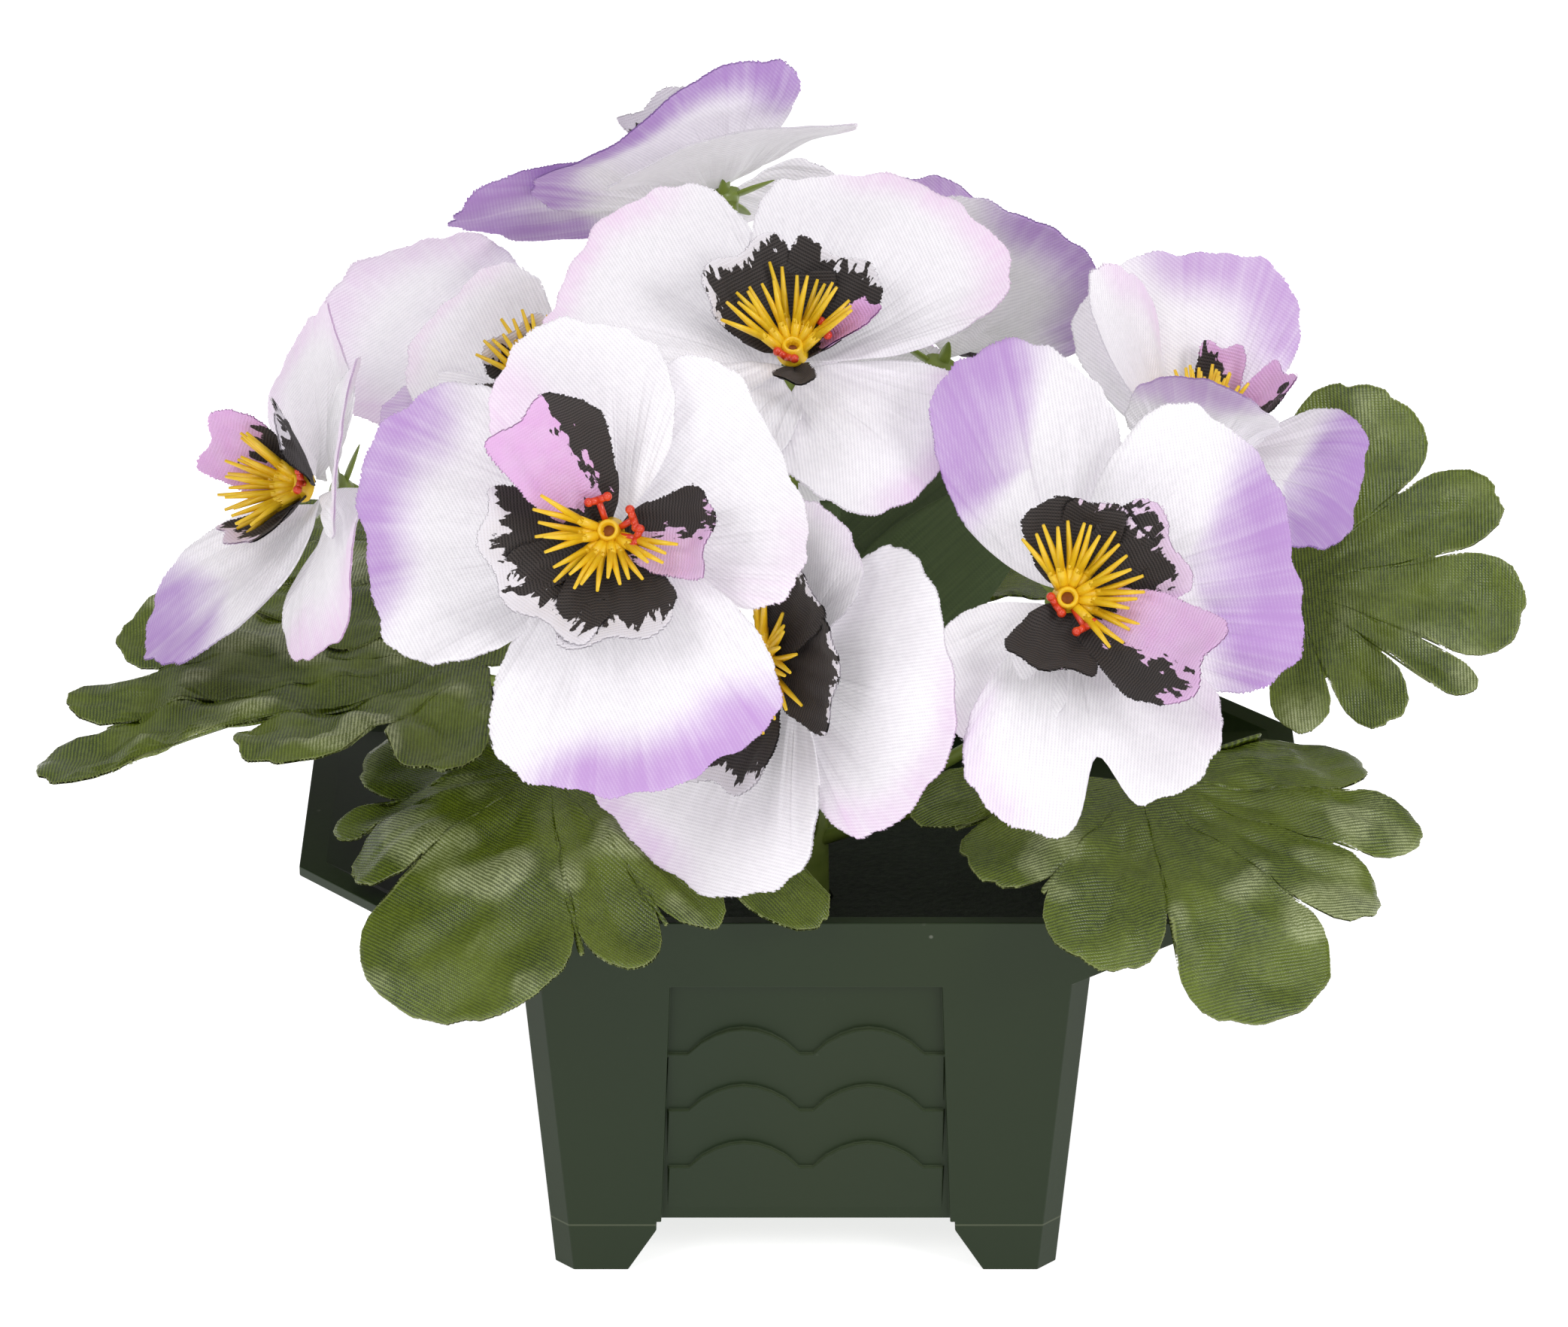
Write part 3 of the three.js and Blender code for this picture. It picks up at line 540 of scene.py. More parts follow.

# %% [markdown]
# ## The blooms
# Nine blooms show in the photograph and one fills the back. Their rows are facts about the plant, chosen
# against the photograph, so they stand in one table that the next cells read. The row of a petal or of
# an arm of the throat reads: turn, lift, length, width, bow, cup, and sometimes roll and notch. The sprays of
# each petal and the ink of each arm follow in the same order. Stamens have a middle turn and a rise, red tips
# a turn and a reach.

# %% Blooms
BLOOMS = {
    "front_left": {
        "hub": (-33.8, -58, 153.2), "face": (-8, 36), "stamens": (198, 42),
        "red": [(342, 6.5), (70, 6), (110, 7)],
        "petals": [(275, 0, 46, 53, -10, 8), (347, 16, 38, 35, -10, 8), (63, 4, 34, 50, -16, 8),
                   (171, 3, 46, 52, -15, 10)],
        "sprays": [[(-40, 70, 17, 0.9, 0.9)], [(-120, -30, 16, 0.5, 0)], [(20, 110, 14, 0.35, 0)],
                   [(-75, 45, 18, 1.0, 0.8)]],
        "throat": [(326, 40, 31, 24, 10, 10), (260, 22, 24, 24, 0, 10), (95, 26, 22, 20, 0, 10),
                   (172, 24, 24, 26, 0, 10), (216, 22, 23, 26, 0, 10)],
        "ink": [(1.2, 0.15, 1.5, 0.9), (0.84, -1.3, 1.5, 0), (1.0, -1.5, 0.05, 0.75), (0.84, -1.5, 1.0, 0),
                (0.8, -1.3, 1.3, 0)],
    },
    "top": {
        "hub": (-2.6, -8, 164.3), "face": (3, 62), "stamens": (0, 46), "red": [(209, 3.2), (71, 7.4)],
        "petals": [(298, 14, 46, 50, -8, 10), (35, 10, 46, 50, -8, 10), (138, 5, 35, 42, -8, 10),
                   (222, 15, 32, 30, -8, 10)],
        "sprays": [[(-70, 60, 9, 0.55, 0)], [(-40, 90, 9, 0.55, 0)], [(-90, 30, 9, 0.6, 0.3)],
                   [(-60, 60, 8, 0.4, 0)]],
        "throat": [(325, 36, 23, 24, 0, 10), (34, 32, 22, 24, 0, 10), (80, 40, 20, 8, 0, 10),
                   (180, 36, 15, 10, 0, 10), (0, 34, 17, 20, 0, 10)],
        "ink": [(0.9, -0.8, 1.5, 0), (0.93, -1.5, 1.2, 0), (0.3, -1.3, 1.3, 1.3), (1.2, -1.5, 1.5, 0),
                (1.3, -1.5, 1.5, 0)],
    },
    "front_right": {
        "hub": (46, -45, 135.2), "face": (0, 30), "stamens": (52, 38), "red": [(237, 3), (152, 7.7)],
        "petals": [(346, -2, 48, 35, -8, 8), (70, 0, 43, 54, -8, 8), (170, 14, 42, 48, -8, 8, 0, 0.3),
                   (222, 4, 30, 28, 0, 8)],
        "sprays": [[(-110, 20, 24, 0.95, 0.9)], [(-30, 95, 34, 1.0, 0.9)],
                   [(30, 120, 9, 0.45, 0.5), (-110, -60, 7, 0.35, 0.4)], [(-60, 60, 6, 0.3, 0)]],
        "throat": [(5, 25, 19, 22, 0, 10), (62, 25, 24, 24, 0, 10), (122, 34, 34, 24, 0, 10),
                   (196, 36, 18, 20, 0, 10), (34, 25, 20, 22, 0, 10)],
        "ink": [(1.2, -1.3, 1.5, 0.4), (0.9, -1.5, 0.6, 0.5), (0.9, 0.1, 1.5, 0.8), (1.1, -1.5, 1.5, 0.4),
                (0.98, -1.5, 1.5, 0.4)],
    },
    "front_low": {
        "hub": (-5.4, -42, 122.5), "face": (-38, 20), "stamens": (100, 36), "red": [(340, 10), (334, 6)],
        "petals": [(103, 5, 40, 54, 0, 8), (206, 12, 42, 56, 0, 8), (30, 14, 34, 26, 0, 8)],
        "sprays": [[(-20, 100, 11, 0.5, 0.2)], [(-10, 110, 12, 0.6, 0.5)], [(-60, 60, 6, 0.35, 0.3)]],
        "throat": [(40, 26, 24, 22, 0, 10), (100, 22, 24, 24, 0, 10), (190, 24, 26, 24, 0, 10)],
        "ink": [(0.95, -1.3, 1.3, 0), (0.95, -1.3, 1.3, 0), (0.88, -1.3, 1.3, 0)],
    },
    "left": {
        "hub": (-87, -8, 140.2), "face": (-70, 20), "stamens": (250, 54), "red": [(80, 4)],
        "petals": [(212, 31, 47, 29, 0, 8), (336, 5, 36, 30, 0, 8), (75, 20, 40, 34, 0, 8),
                   (138, 5, 36, 36, 0, 8)],
        "sprays": [[(-70, 70, 17, 0.9, 1)], [(-90, 90, 8, 0.5, 0.2)], [(-90, 90, 9, 0.5, 0.3)],
                   [(-70, 80, 15, 0.6, 0.1)]],
        "throat": [(300, 50, 24, 18, 0, 10), (40, 45, 20, 18, 0, 10), (190, 50, 20, 18, 0, 10)],
        "ink": [(0.6, -0.2, 1.3, 0.9), (0.9, -1.3, 1.3, 0), (0.85, -1.3, 1.3, 0.3)],
    },
    "back_left": {
        "hub": (-47, 22, 145), "face": (-15, 45), "stamens": (20, 46), "red": [(200, 4)],
        "petals": [(302, -6, 51, 44, 0, 8), (304, 24, 28, 34, 0, 8), (50, 5, 34, 32, 0, 8),
                   (235, 20, 34, 32, 0, 8)],
        "sprays": [[(-110, 90, 11, 0.5, 0.3)], [(-60, 60, 6, 0.4, 0)], [(-80, 80, 8, 0.5, 0.2)],
                   [(-80, 80, 12, 0.7, 0.8)]],
        "throat": [(325, 44, 16, 18, 0, 10), (80, 36, 20, 20, 0, 10), (220, 50, 20, 18, 0, 10)],
        "ink": [(0.8, -1.3, 1.3, 0), (0.85, -1.3, 1.3, 0), (0.85, -1.3, 1.3, 0)],
    },
    "crown": {
        "hub": (-16.3, 48, 177.3), "face": (203, 39), "stamens": (60, 50), "red": [(180, 4)],
        "petals": [(29, -13, 30, 51, 0, 8), (60, 3, 36, 59, 0, 8), (122, 10, 52, 27, 0, 8),
                   (230, 12, 34, 40, 0, 8)],
        "sprays": [[(-110, -60, 6, 0.4, 0)], [(-110, 110, 15, 1.0, 1)], [(-110, 110, 17, 1.0, 1)],
                   [(-60, 60, 6, 0.3, 0.3)]],
        "throat": [(60, 32, 22, 22, 0, 10), (180, 36, 20, 20, 0, 10), (300, 44, 20, 20, 0, 10)],
        "ink": [(0.8, -1.3, 1.3, 0), (0.8, -1.3, 1.3, 0), (0.9, -1.3, 1.3, 0.4)],
    },
    "back_right": {
        "hub": (26.6, 46.5, 143.6), "face": (152, 31), "stamens": (0, 50), "red": [(180, 4)],
        "petals": [(332, 18, 42, 40, 0, 8), (306, 10, 45, 42, 0, 8), (60, 10, 34, 36, 0, 8),
                   (170, 20, 34, 42, 0, 8)],
        "sprays": [[(-110, 40, 12, 0.85, 0.9)], [(-110, 30, 14, 0.9, 1)], [(-60, 60, 8, 0.4, 0.3)],
                   [(-60, 60, 8, 0.3, 0.3)]],
        "throat": [(0, 40, 22, 22, 0, 10), (120, 36, 20, 20, 0, 10), (240, 44, 20, 20, 0, 10)],
        "ink": [(0.8, -1.3, 1.3, 0), (0.8, -1.3, 1.3, 0), (0.8, -1.3, 1.3, 0)],
    },
    "right": {
        "hub": (72, 12, 137), "face": (20, 75), "stamens": (30, 76), "red": [(200, 4)],
        "petals": [(292, 62, 46, 24, 0, 8), (-7, 54, 41, 44, 0, 8), (118, 24, 32, 44, -54, 8),
                   (195, 66, 33, 30, 0, 8)],
        "sprays": [[(0, 100, 7, 0.55, 0.1)], [(-20, 110, 16, 0.85, 0.8)], [(-80, 70, 30, 1.0, 1)],
                   [(-40, 60, 14, 0.8, 0.8)]],
        "throat": [(25, 60, 22, 12, 0, 10), (85, 50, 24, 14, 0, 10)],
        "ink": [(0.9, -1.3, 0.2, 0.9), (0.9, 0.0, 1.3, 0.9)],
    },
    "rear": {
        "hub": (-10, 78, 110), "face": (185, 14), "stamens": (0, 42), "red": [(160, 5), (210, 5)],
        "petals": [(10, 10, 36, 44, 0, 8), (80, 2, 42, 42, 0, 8), (180, 12, 44, 48, 0, 8),
                   (280, 4, 42, 42, 0, 8)],
        "sprays": [[(-90, 60, 10, 0.6, 0.3)], [(-60, 80, 12, 0.7, 0.8)], [(-70, 70, 12, 0.9, 0.9)],
                   [(-60, 60, 10, 0.7, 0.6)]],
        "throat": [(0, 30, 22, 22, 0, 10), (120, 30, 22, 20, 0, 10), (240, 30, 22, 20, 0, 10)],
        "ink": [(0.76, -1.3, 1.3, 0), (0.76, -1.3, 1.3, 0), (0.76, -1.3, 1.3, 0)],
    },
}
print("blooms:", len(BLOOMS), "with", sum(len(b["petals"]) for b in BLOOMS.values()), "petals")

# %% [markdown]
# ## Woven cloth
# The cloth is a plain weave with one thread thicker than the other, so it shows fine ribs about 0.6 mm apart,
# broken into dots. Modelled threads would take millions of faces, so two sine waves on the flat cloth's own
# coordinates draw them, and the height that they make gives both the bump and a small change of colour, which
# the petal, throat and leaf finishes use as painted shade in the gaps between threads and painted highlight on
# the threads. At the cut edge single threads stand out and the cloth between them is cut away.

# %% Weave
RIB, THREAD, SLUB = 0.62, 0.5, 1.6
FRAY_END, FRAY_START = -0.35, -0.15


def weave(finish):
    """The height of the cloth, 0 to 1, and its flat coordinates."""
    flat = finish.node("ShaderNodeUVMap", {"uv_map": "cloth"})
    slub = finish.grain(0.9, flat, 2.0) * SLUB
    rib = (finish.part(flat, 1) * (2 * math.pi / RIB) + slub).sine()
    thread = (finish.part(flat, 0) * (2 * math.pi / THREAD) + slub).sine()
    return 0.5 + 0.3 * rib + 0.2 * rib * thread, flat


def frayed(finish, height, flat, width=0.45):
    """1 on the cloth, 0 where the outermost threads have gone."""
    loss = finish.grain(1.6, flat, 2.0) * width * 1.6 + height * width * 0.5
    return finish.step(finish.fact("rim") - loss, FRAY_END, FRAY_START)


print("ribs", RIB, "mm and threads", THREAD, "mm apart")

# %% [markdown]
# ## Petal finish
# White polyester with a little sheen. Between the ribs the white is painted greyer and the dye a little
# stronger, a painted shade in the gaps; the dye is uneven at a few millimetres, as sprayed dye is, drawn out
# along the creases. The cloth is so thin that some light passes through it, and a faint glow in its own colour
# stands in for that.

# %% Petal finish
GAP_SHADE_GREY, WHITE_RIB = dye(208, 205, 210), dye(246, 243, 247)
LILAC, PURPLE = dye(224, 184, 222), dye(166, 130, 190)
GLOW = 0.2

petal = Finish("petal cloth", Sheen_Weight=0.15, Sheen_Roughness=0.4, Specular_IOR_Level=0.3,
               Emission_Strength=GLOW)
height, flat = weave(petal)
cloudy = petal.grain(0.13, flat, 3.0)
fine = petal.grain(0.7, flat, 2.0)
streak = petal.node("ShaderNodeTexNoise", {"noise_dimensions": "1D"},
                    {"W": petal.fact("ink") * 0.35, "Scale": 1.0, "Detail": 2.0})
along = petal.fact("lift")
pleat = (streak - 0.5) * petal.step(along, 0.08, 0.3) * (1 - petal.step(along, 0.45, 0.85))
# Painted shade: the dye amount rises a little in the gaps between the ribs.
amount = petal.fact("blush") * (0.7 + 0.45 * cloudy + 0.5 * (streak - 0.5)) * (1.08 - 0.2 * height)
# Painted shade: the white is greyer in the gaps between the ribs, mixed with a fine random noise.
white = petal.blend(fine * 0.4 + height * 0.6, GAP_SHADE_GREY, WHITE_RIB)
tint = petal.blend(petal.fact("tone"), LILAC, PURPLE)
dyed = petal.blend(petal.step(amount, 0.02, 1.05), white, tint)
petal.wear(
    Base_Color=dyed,
    Emission_Color=dyed,
    Roughness=0.66 - 0.1 * height,
    Alpha=frayed(petal, height, flat),
    Normal=petal.bump(height * 0.14 + pleat * 1.6, 0.6 * MM, 0.6),
)
print("petal finish:", petal.material.name)

# %% Petals
PETAL_GRID = 44

for number, (name, bloom) in enumerate(BLOOMS.items()):
    stand = bloom_stand(bloom)
    cloth = Cloth("bloom_cloth_" + name)
    for i, row in enumerate(bloom["petals"]):
        seed = number * 4.1 + i * 1.7
        rule = petal_rule(row, PETAL_START, LAYERS[i], bloom["sprays"][i], seed)
        cloth.add(PETAL_GRID, PETAL_GRID, rule, stand)
    cloth.finish("petals_" + name, "petals", petal.material)
print("petal cloths:", len(flat_area))

# %% [markdown]
# ## Throat
# A second, smaller cloth lies on the petals, with arms that curl up round the stamens. It is dyed charcoal,
# and the dye has run along the threads, so its border is a row of needles. Beyond it the cloth is white or
# pink. Each arm's ink row says how far the charcoal reaches, from where to where across the arm, and how pink
# the rest is. The points carry their distance inside that border as the fact ink, and the pink as blush. The
# shader makes the needles: drawn in the mesh, they would need far finer grids.

# %% Throat rule
THROAT_START, THROAT_HEIGHT = 1.7, 2.5
THROAT_SHAPE = {"square": 0.3, "breadth": 1.05, "narrowing": 0.4}
ALWAYS_INKED = 0.25


def throat_rule(row, ink, seed):
    turn, lift, length, width, bow, cup = row
    reach_to, begin, end, pink = ink

    def rule(u, v):
        x, y, share, reach, angle = on_petal(u, v, row, THROAT_START, **THROAT_SHAPE)
        frill = 1 + 0.05 * ripple(angle * 6 + seed * 80) * smooth(share / 0.4)
        x, y = x * frill, y * frill
        point = bend(x, y, length, width, lift, bow, cup) + Vector((0, THROAT_START, THROAT_HEIGHT))
        across = x / (width / 2)
        arm = min((reach_to - share) * length, (across - begin) * width / 2, (end - across) * width / 2)
        inked = max(arm, (ALWAYS_INKED - share) * length)
        curl = 0.9 * smooth((reach - 0.5) / 0.5)
        curl += 0.7 * ripple(angle * 2.3 + seed * 50) * smooth((reach - 0.3) / 0.7)
        crease = 0.2 * math.sin(x * 1.5 + seed) * smooth(share / 0.3) * smooth((1 - share) / 0.3)
        rim = min((1 - abs(u)) * width / 2, (1 - v) * length / 2) + BASE_RIM * smooth((0.3 - share) / 0.2)
        facts = {"rim": rim, "ink": inked, "blush": pink}
        return on_clock(point, turn), (x, y + seed * 40), curl + crease, facts

    return rule


print("throat cloth", THROAT_HEIGHT, "mm in front of the petals")

# %% [markdown]
# ## Throat finish
# Charcoal dye creeps along single threads. Noise that is drawn out along the cloth shifts the border by
# several millimetres, once for needles and once for the finer fibres between them, and a narrow step keeps it
# sharp.

# %% Throat finish
NEEDLE_LENGTH, FIBRE_LENGTH = 9, 4.5
CHARCOAL_GAP_SHADE, CHARCOAL_RIB = dye(26, 23, 23), dye(70, 64, 62)
PALE_CLOTH, PINK_CLOTH = dye(232, 228, 234), dye(220, 170, 220)

throat = Finish("throat cloth", Sheen_Weight=0.08, Specular_IOR_Level=0.3)
height, flat = weave(throat)
needles = throat.grain(0.62, flat, 1.0, stretch=(1.0, 0.42, 1))
fibres = throat.grain(1.7, flat, 2.0, stretch=(1.0, 0.35, 1))
border = throat.fact("ink") + (needles - 0.6) * NEEDLE_LENGTH + (fibres - 0.5) * FIBRE_LENGTH
black = throat.step(border, -0.2, 0.2)
# Painted shade: the charcoal is darker in the gaps between the threads and paler on the threads.
charcoal = throat.blend(height, CHARCOAL_GAP_SHADE, CHARCOAL_RIB)
uneven = throat.grain(0.25, flat, 2.0)
pale = throat.blend(throat.fact("blush") * (0.75 + 0.5 * uneven), PALE_CLOTH, PINK_CLOTH)
throat.wear(
    Base_Color=throat.blend(black, pale, charcoal),
    Roughness=0.78 - 0.15 * height,
    Alpha=frayed(throat, height, flat, 0.8),
    Normal=throat.bump(height, 0.16 * MM, 0.5),
)
print("throat finish:", throat.material.name)

# %% Throats
THROAT_GRID = 24

for number, (name, bloom) in enumerate(BLOOMS.items()):
    stand = bloom_stand(bloom)
    cloth = Cloth("throat_cloth_" + name)
    for i, row in enumerate(bloom["throat"]):
        cloth.add(THROAT_GRID, THROAT_GRID, throat_rule(row, bloom["ink"][i], number * 3.3 + i), stand)
    cloth.finish("throat_" + name, "throat", throat.material)
print("petal and throat cloths:", len(flat_area))

# %% [markdown]
# ## Stamens
# The eye of each bloom is one glossy yellow moulding: a small round socket with a hole, and a half fan of
# spikes that fork near their ends. One to three red blunt tips stand on the other side. Tapered cones make
# the spikes, with few sides because there are hundreds of them, and a spun profile makes the socket.

# %% Stamen parts
YELLOW, RED, HOLE = 0, 1, 2
SPIKES, SPIKE_LENGTH, FORK_AT = 10, 15.4, 0.46
FAN_WIDTH, FORK_WIDTH, FAN_HEIGHT = 172, 5.5, 4.0
SPIKE_RADII, PRONG_RADII = (1.05, 0.82), (0.8, 0.28)


def paint(verts, material):
    """Gives the faces at these points a number in the piece's list of materials."""
    for vert in verts:
        for face in vert.link_faces:
            face.material_index = material


def rod(bm, start, end, radii, stand, sides=8, material=0):
    """A tapered rod between two points of a piece's own frame."""
    start, end = Vector(start), Vector(end)
    aim = (end - start).to_track_quat("Z", "Y").to_matrix().to_4x4()
    place = stand @ Matrix.Translation((start + end) / 2) @ aim
    made = bmesh.ops.create_cone(bm, cap_ends=True, segments=sides, radius1=radii[0], radius2=radii[1],
                                 depth=(end - start).length, matrix=place)
    paint(made["verts"], material)


def out(turn, lift, distance, height=0.0):
    """A point of a bloom's own frame, by its turn on the clock face."""
    turn, lift = math.radians(turn), math.radians(lift)
    flat = math.cos(lift) * distance
    return Vector((math.sin(turn) * flat, math.cos(turn) * flat, math.sin(lift) * distance + height))


def fan(bm, bloom, stand, seed):
    """The half fan of forked spikes, no two quite alike."""
    middle, rise = bloom["stamens"]
    for i in range(SPIKES):
        waver = noise.noise(Vector((i * 1.37, seed, 0.5)))
        turn = middle + FAN_WIDTH * (i / (SPIKES - 1) - 0.5) + 5 * waver
        lift = rise - 7 + (9 if i % 2 else 0) + 7 * waver
        length = SPIKE_LENGTH + 2.4 * noise.noise(Vector((i * 2.1, seed, 9.5)))
        fork = out(turn, lift, length * FORK_AT, FAN_HEIGHT)
        rod(bm, out(turn, lift, 2.3, 3.5), fork, SPIKE_RADII, stand)
        inside = out(turn, lift, length * (FORK_AT - 0.06), FAN_HEIGHT)
        for side in (-1, 1):
            aside = turn + side * (FORK_WIDTH + 3 * waver)
            tip = out(aside, lift + side * 3, length * (1 + 0.07 * side * waver), FAN_HEIGHT)
            rod(bm, inside, tip, PRONG_RADII, stand)


print("a fan has", SPIKES, "spikes that fork at", FORK_AT, "of their length")

# %% Red tips and socket
STALK_RADII, HEAD_RADII, BEAD_RADIUS, TIP_SIDES = (0.6, 0.6), (0.72, 0.62), 0.86, 10
PROFILE = [(0.05, 5.2), (1.1, 5.3), (1.2, 6.8), (1.5, 7.1), (1.85, 6.9), (2.05, 6.1), (2.5, 4.9), (2.9, 4.2),
           (2.6, 3.5)]
HOLE_RADIUS, TURNS = 1.0, 24


def red_tip(bm, turn, distance, stand):
    """A blunt tip like the letter T, on its own short stalk."""
    top = out(turn, 36, distance, 4.2)
    rod(bm, out(turn, 30, 1.4, FAN_HEIGHT), top, STALK_RADII, stand, TIP_SIDES, RED)
    aside = out(turn + 90, 0, 1.7)
    for side in (-1, 1):
        end = top + side * aside + Vector((0, 0, 0.5))
        rod(bm, top, end, HEAD_RADII, stand, TIP_SIDES, RED)
        bead = bmesh.ops.create_uvsphere(bm, u_segments=TIP_SIDES, v_segments=8, radius=BEAD_RADIUS,
                                         matrix=stand @ Matrix.Translation(end))
        paint(bead["verts"], RED)


def socket(bm, stand):
    """The round socket with its hole. It comes first, while the bmesh holds nothing else."""
    ring = [bm.verts.new((x, 0, z)) for x, z in PROFILE]
    edges = [bm.edges.new(pair) for pair in zip(ring, ring[1:])]
    bmesh.ops.spin(bm, geom=ring + edges, cent=(0, 0, 0), axis=(0, 0, 1), angle=2 * math.pi, steps=TURNS,
                   use_merge=True)
    # Faces near the middle take the hole's darker material, a painted shade inside the hole.
    for face in bm.faces:
        face.material_index = HOLE if face.calc_center_median().xy.length < HOLE_RADIUS else YELLOW
    bmesh.ops.recalc_face_normals(bm, faces=bm.faces)
    bmesh.ops.transform(bm, matrix=stand, verts=bm.verts)


print("the socket's profile has", len(PROFILE), "points")

# %% [markdown]
# ## Stamen finish
# Moulded plastic is one colour with a clear gloss, so a fine noise that changes colour and gloss a little
# keeps it from looking like paint. The yellow and the red plastic differ only in numbers, so one function
# makes both.


# %% Stamen finish
def glossy_plastic(name, coat, scale, detail, colours, gloss):
    """A finish of moulded plastic, and the fine spots that make it uneven."""
    finish = Finish(name, Specular_IOR_Level=0.5, Coat_Weight=coat)
    spots = finish.grain(scale, detail=detail)
    finish.wear(Base_Color=finish.blend(spots, *colours), Roughness=gloss[0] + gloss[1] * spots)
    return finish, spots


yellow_dyes, red_dyes = (dye(232, 178, 10), dye(248, 214, 40)), (dye(206, 40, 16), dye(232, 78, 34))
yellow, spots = glossy_plastic("yellow plastic", 0.2, 600.0, 2.0, yellow_dyes, (0.32, 0.15))
yellow.wear(Normal=yellow.bump(spots, 0.12 * MM, 0.4))
red = glossy_plastic("red plastic", 0.4, 600.0, 2.0, red_dyes, (0.25, 0.15))[0]
# Painted shade: the socket's hole is a darker orange than the yellow plastic, for the shade inside it.
hole = Finish("hole of the socket", Roughness=0.6)
hole.wear(Base_Color=hole.blend(hole.grain(700.0), dye(120, 62, 10), dye(176, 104, 20)))
eye_materials = [yellow.material, red.material, hole.material]
print("stamen finishes:", [material.name for material in eye_materials])

# %% Stamens
for number, (name, bloom) in enumerate(BLOOMS.items()):
    stand = bloom_stand(bloom)
    bm = bmesh.new()
    socket(bm, stand)
    fan(bm, bloom, stand, number * 5.3)
    for turn, distance in bloom["red"]:
        red_tip(bm, turn, distance, stand)
    piece = smooth_piece("eye_" + name, bm, eye_materials)
    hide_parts("stamens_" + name)
print("eyes:", len(BLOOMS))

# %% [markdown]
# ## Leaves
# A leaf is a fan of rounded lobes with narrow cuts between them. It is embossed with veins that run from its
# stalk into each lobe and with curved wrinkles beside them, and its edge is slightly scalloped.
#
# A leaf's row says where it starts and runs, how it is bent (length, width, lift, bow, cup, roll), how wavy
# it is and how much each lobe tilts, in mm. A lobe is given by the turn from the midrib where it starts, its
# reach, and sometimes how far out the cut before it begins, as a share of the shorter lobe.

# %% Leaf tables
LEAVES = {
    "front_left": {
        "base": (-47, -27, 93), "run": (-45, -13), "bent": (60, 96, 0, -34, -27, 0), "wave": 2.2,
        "lobes": [(-112, 62), (-92, 50, 0.92), (-72, 52, 0.9), (-50, 58, 0.9), (8, 41, 0.7), (42, 44, 0.7),
                  (56, 42, 0.75)],
        "end": 108, "tilt": (0.6, 4.2, -1.2, 1.4, -1.0, 1.6, -1.2),
    },
    "front_right": {
        "base": (60, -30, 92), "run": (20, -14), "bent": (60, 96, 0, -34, -16, 0), "wave": 2.0,
        "lobes": [(-112, 48), (-80, 54, 0.75), (-58, 50, 0.75), (-30, 56, 0.72), (10, 44, 0.72),
                  (50, 38, 0.9), (92, 42, 0.92)],
        "end": 118, "tilt": (1.0, -1.4, 1.2, -1.2, 1.6, -1.4, 1.0),
    },
    "left": {
        "base": (-58, -12, 107), "run": (-92, 0), "bent": (80, 80, 0, -10, -8, 0), "wave": 3.4,
        "lobes": [(-96, 38), (-56, 54, 0.9), (-24, 85, 0.95), (-6, 79, 0.9), (8, 74, 0.85), (26, 50, 0.9),
                  (60, 34, 0.9), (100, 21, 0.95)],
        "end": 160, "tilt": (1.5, -2.0, 1.6, -2.0, 1.6, -1.6, 1.5, 0.6),
    },
    "right": {
        "base": (89, 12, 112), "run": (88, 8), "bent": (46, 84, 0, -10, 6, 45), "wave": 1.6,
        "lobes": [(-118, 32), (-84, 42), (-38, 43), (-8, 45), (26, 42), (40, 34), (72, 30)],
        "end": 104, "tilt": (1.0, -1.2, 1.0, -1.4, 1.4, -1.2, 1.0),
    },
    "back_left": {
        "base": (-56, 28, 112), "run": (-98, -2), "bent": (70, 56, 0, -16, -8, 0), "wave": 2.0,
        "lobes": [(-104, 30), (-66, 44), (-30, 58), (-8, 68), (12, 58), (38, 42), (70, 30)],
        "end": 104, "tilt": (1.2, -1.2, 1.4, -1.4, 1.2, -1.0, 1.0),
    },
    "back_right": {
        "base": (54, 44, 94), "run": (140, 2), "bent": (62, 78, 0, -36, -16, 0), "wave": 2.0,
        "lobes": [(-108, 40), (-72, 46), (-40, 54), (-10, 60), (22, 54), (50, 46), (78, 38)],
        "end": 108, "tilt": (1.2, -1.2, 1.4, -1.4, 1.2, -1.0, 1.0),
    },
}
print("leaves:", len(LEAVES), "with", sum(len(leaf["lobes"]) for leaf in LEAVES.values()), "lobes")

# %% [markdown]
# ## The outline of a lobe
# A cut could be bored into a finished leaf, which leaves ragged faces. Here the grid itself opens: each lobe
# has its own columns, and where two lobes meet, the columns at the cut stop short. The columns stand close
# together at the cut and at its rounded corner, and further apart where the outline is calm.

# %% Lobe outline
LEAF_EYE, USUAL_CUT = 0.5, 0.66
SLOT, WALL, CORNER, END_CORNER = 0.45, 0.06, 7.0, 10.0
LOBE_COLUMNS = 24


def lobe_corner(span, at_end):
    return min(END_CORNER if at_end else CORNER, span * 0.4)


def lobe_aside(index, span, first, last):
    """How far a column stands from the lobe's nearer side, in mm."""
    at_end = first if index <= LOBE_COLUMNS / 2 else last
    index = min(index, LOBE_COLUMNS - index)
    slot = 0 if at_end else SLOT
    corner = lobe_corner(span, at_end)
    near = [0, slot, slot + WALL] + [slot + corner * part for part in (0.1, 0.3, 0.6, 1.0)]
    if index < len(near):
        return near[index]
    steps = LOBE_COLUMNS / 2 - len(near) + 1
    return near[-1] + (span / 2 - near[-1]) * (index - len(near) + 1) / steps


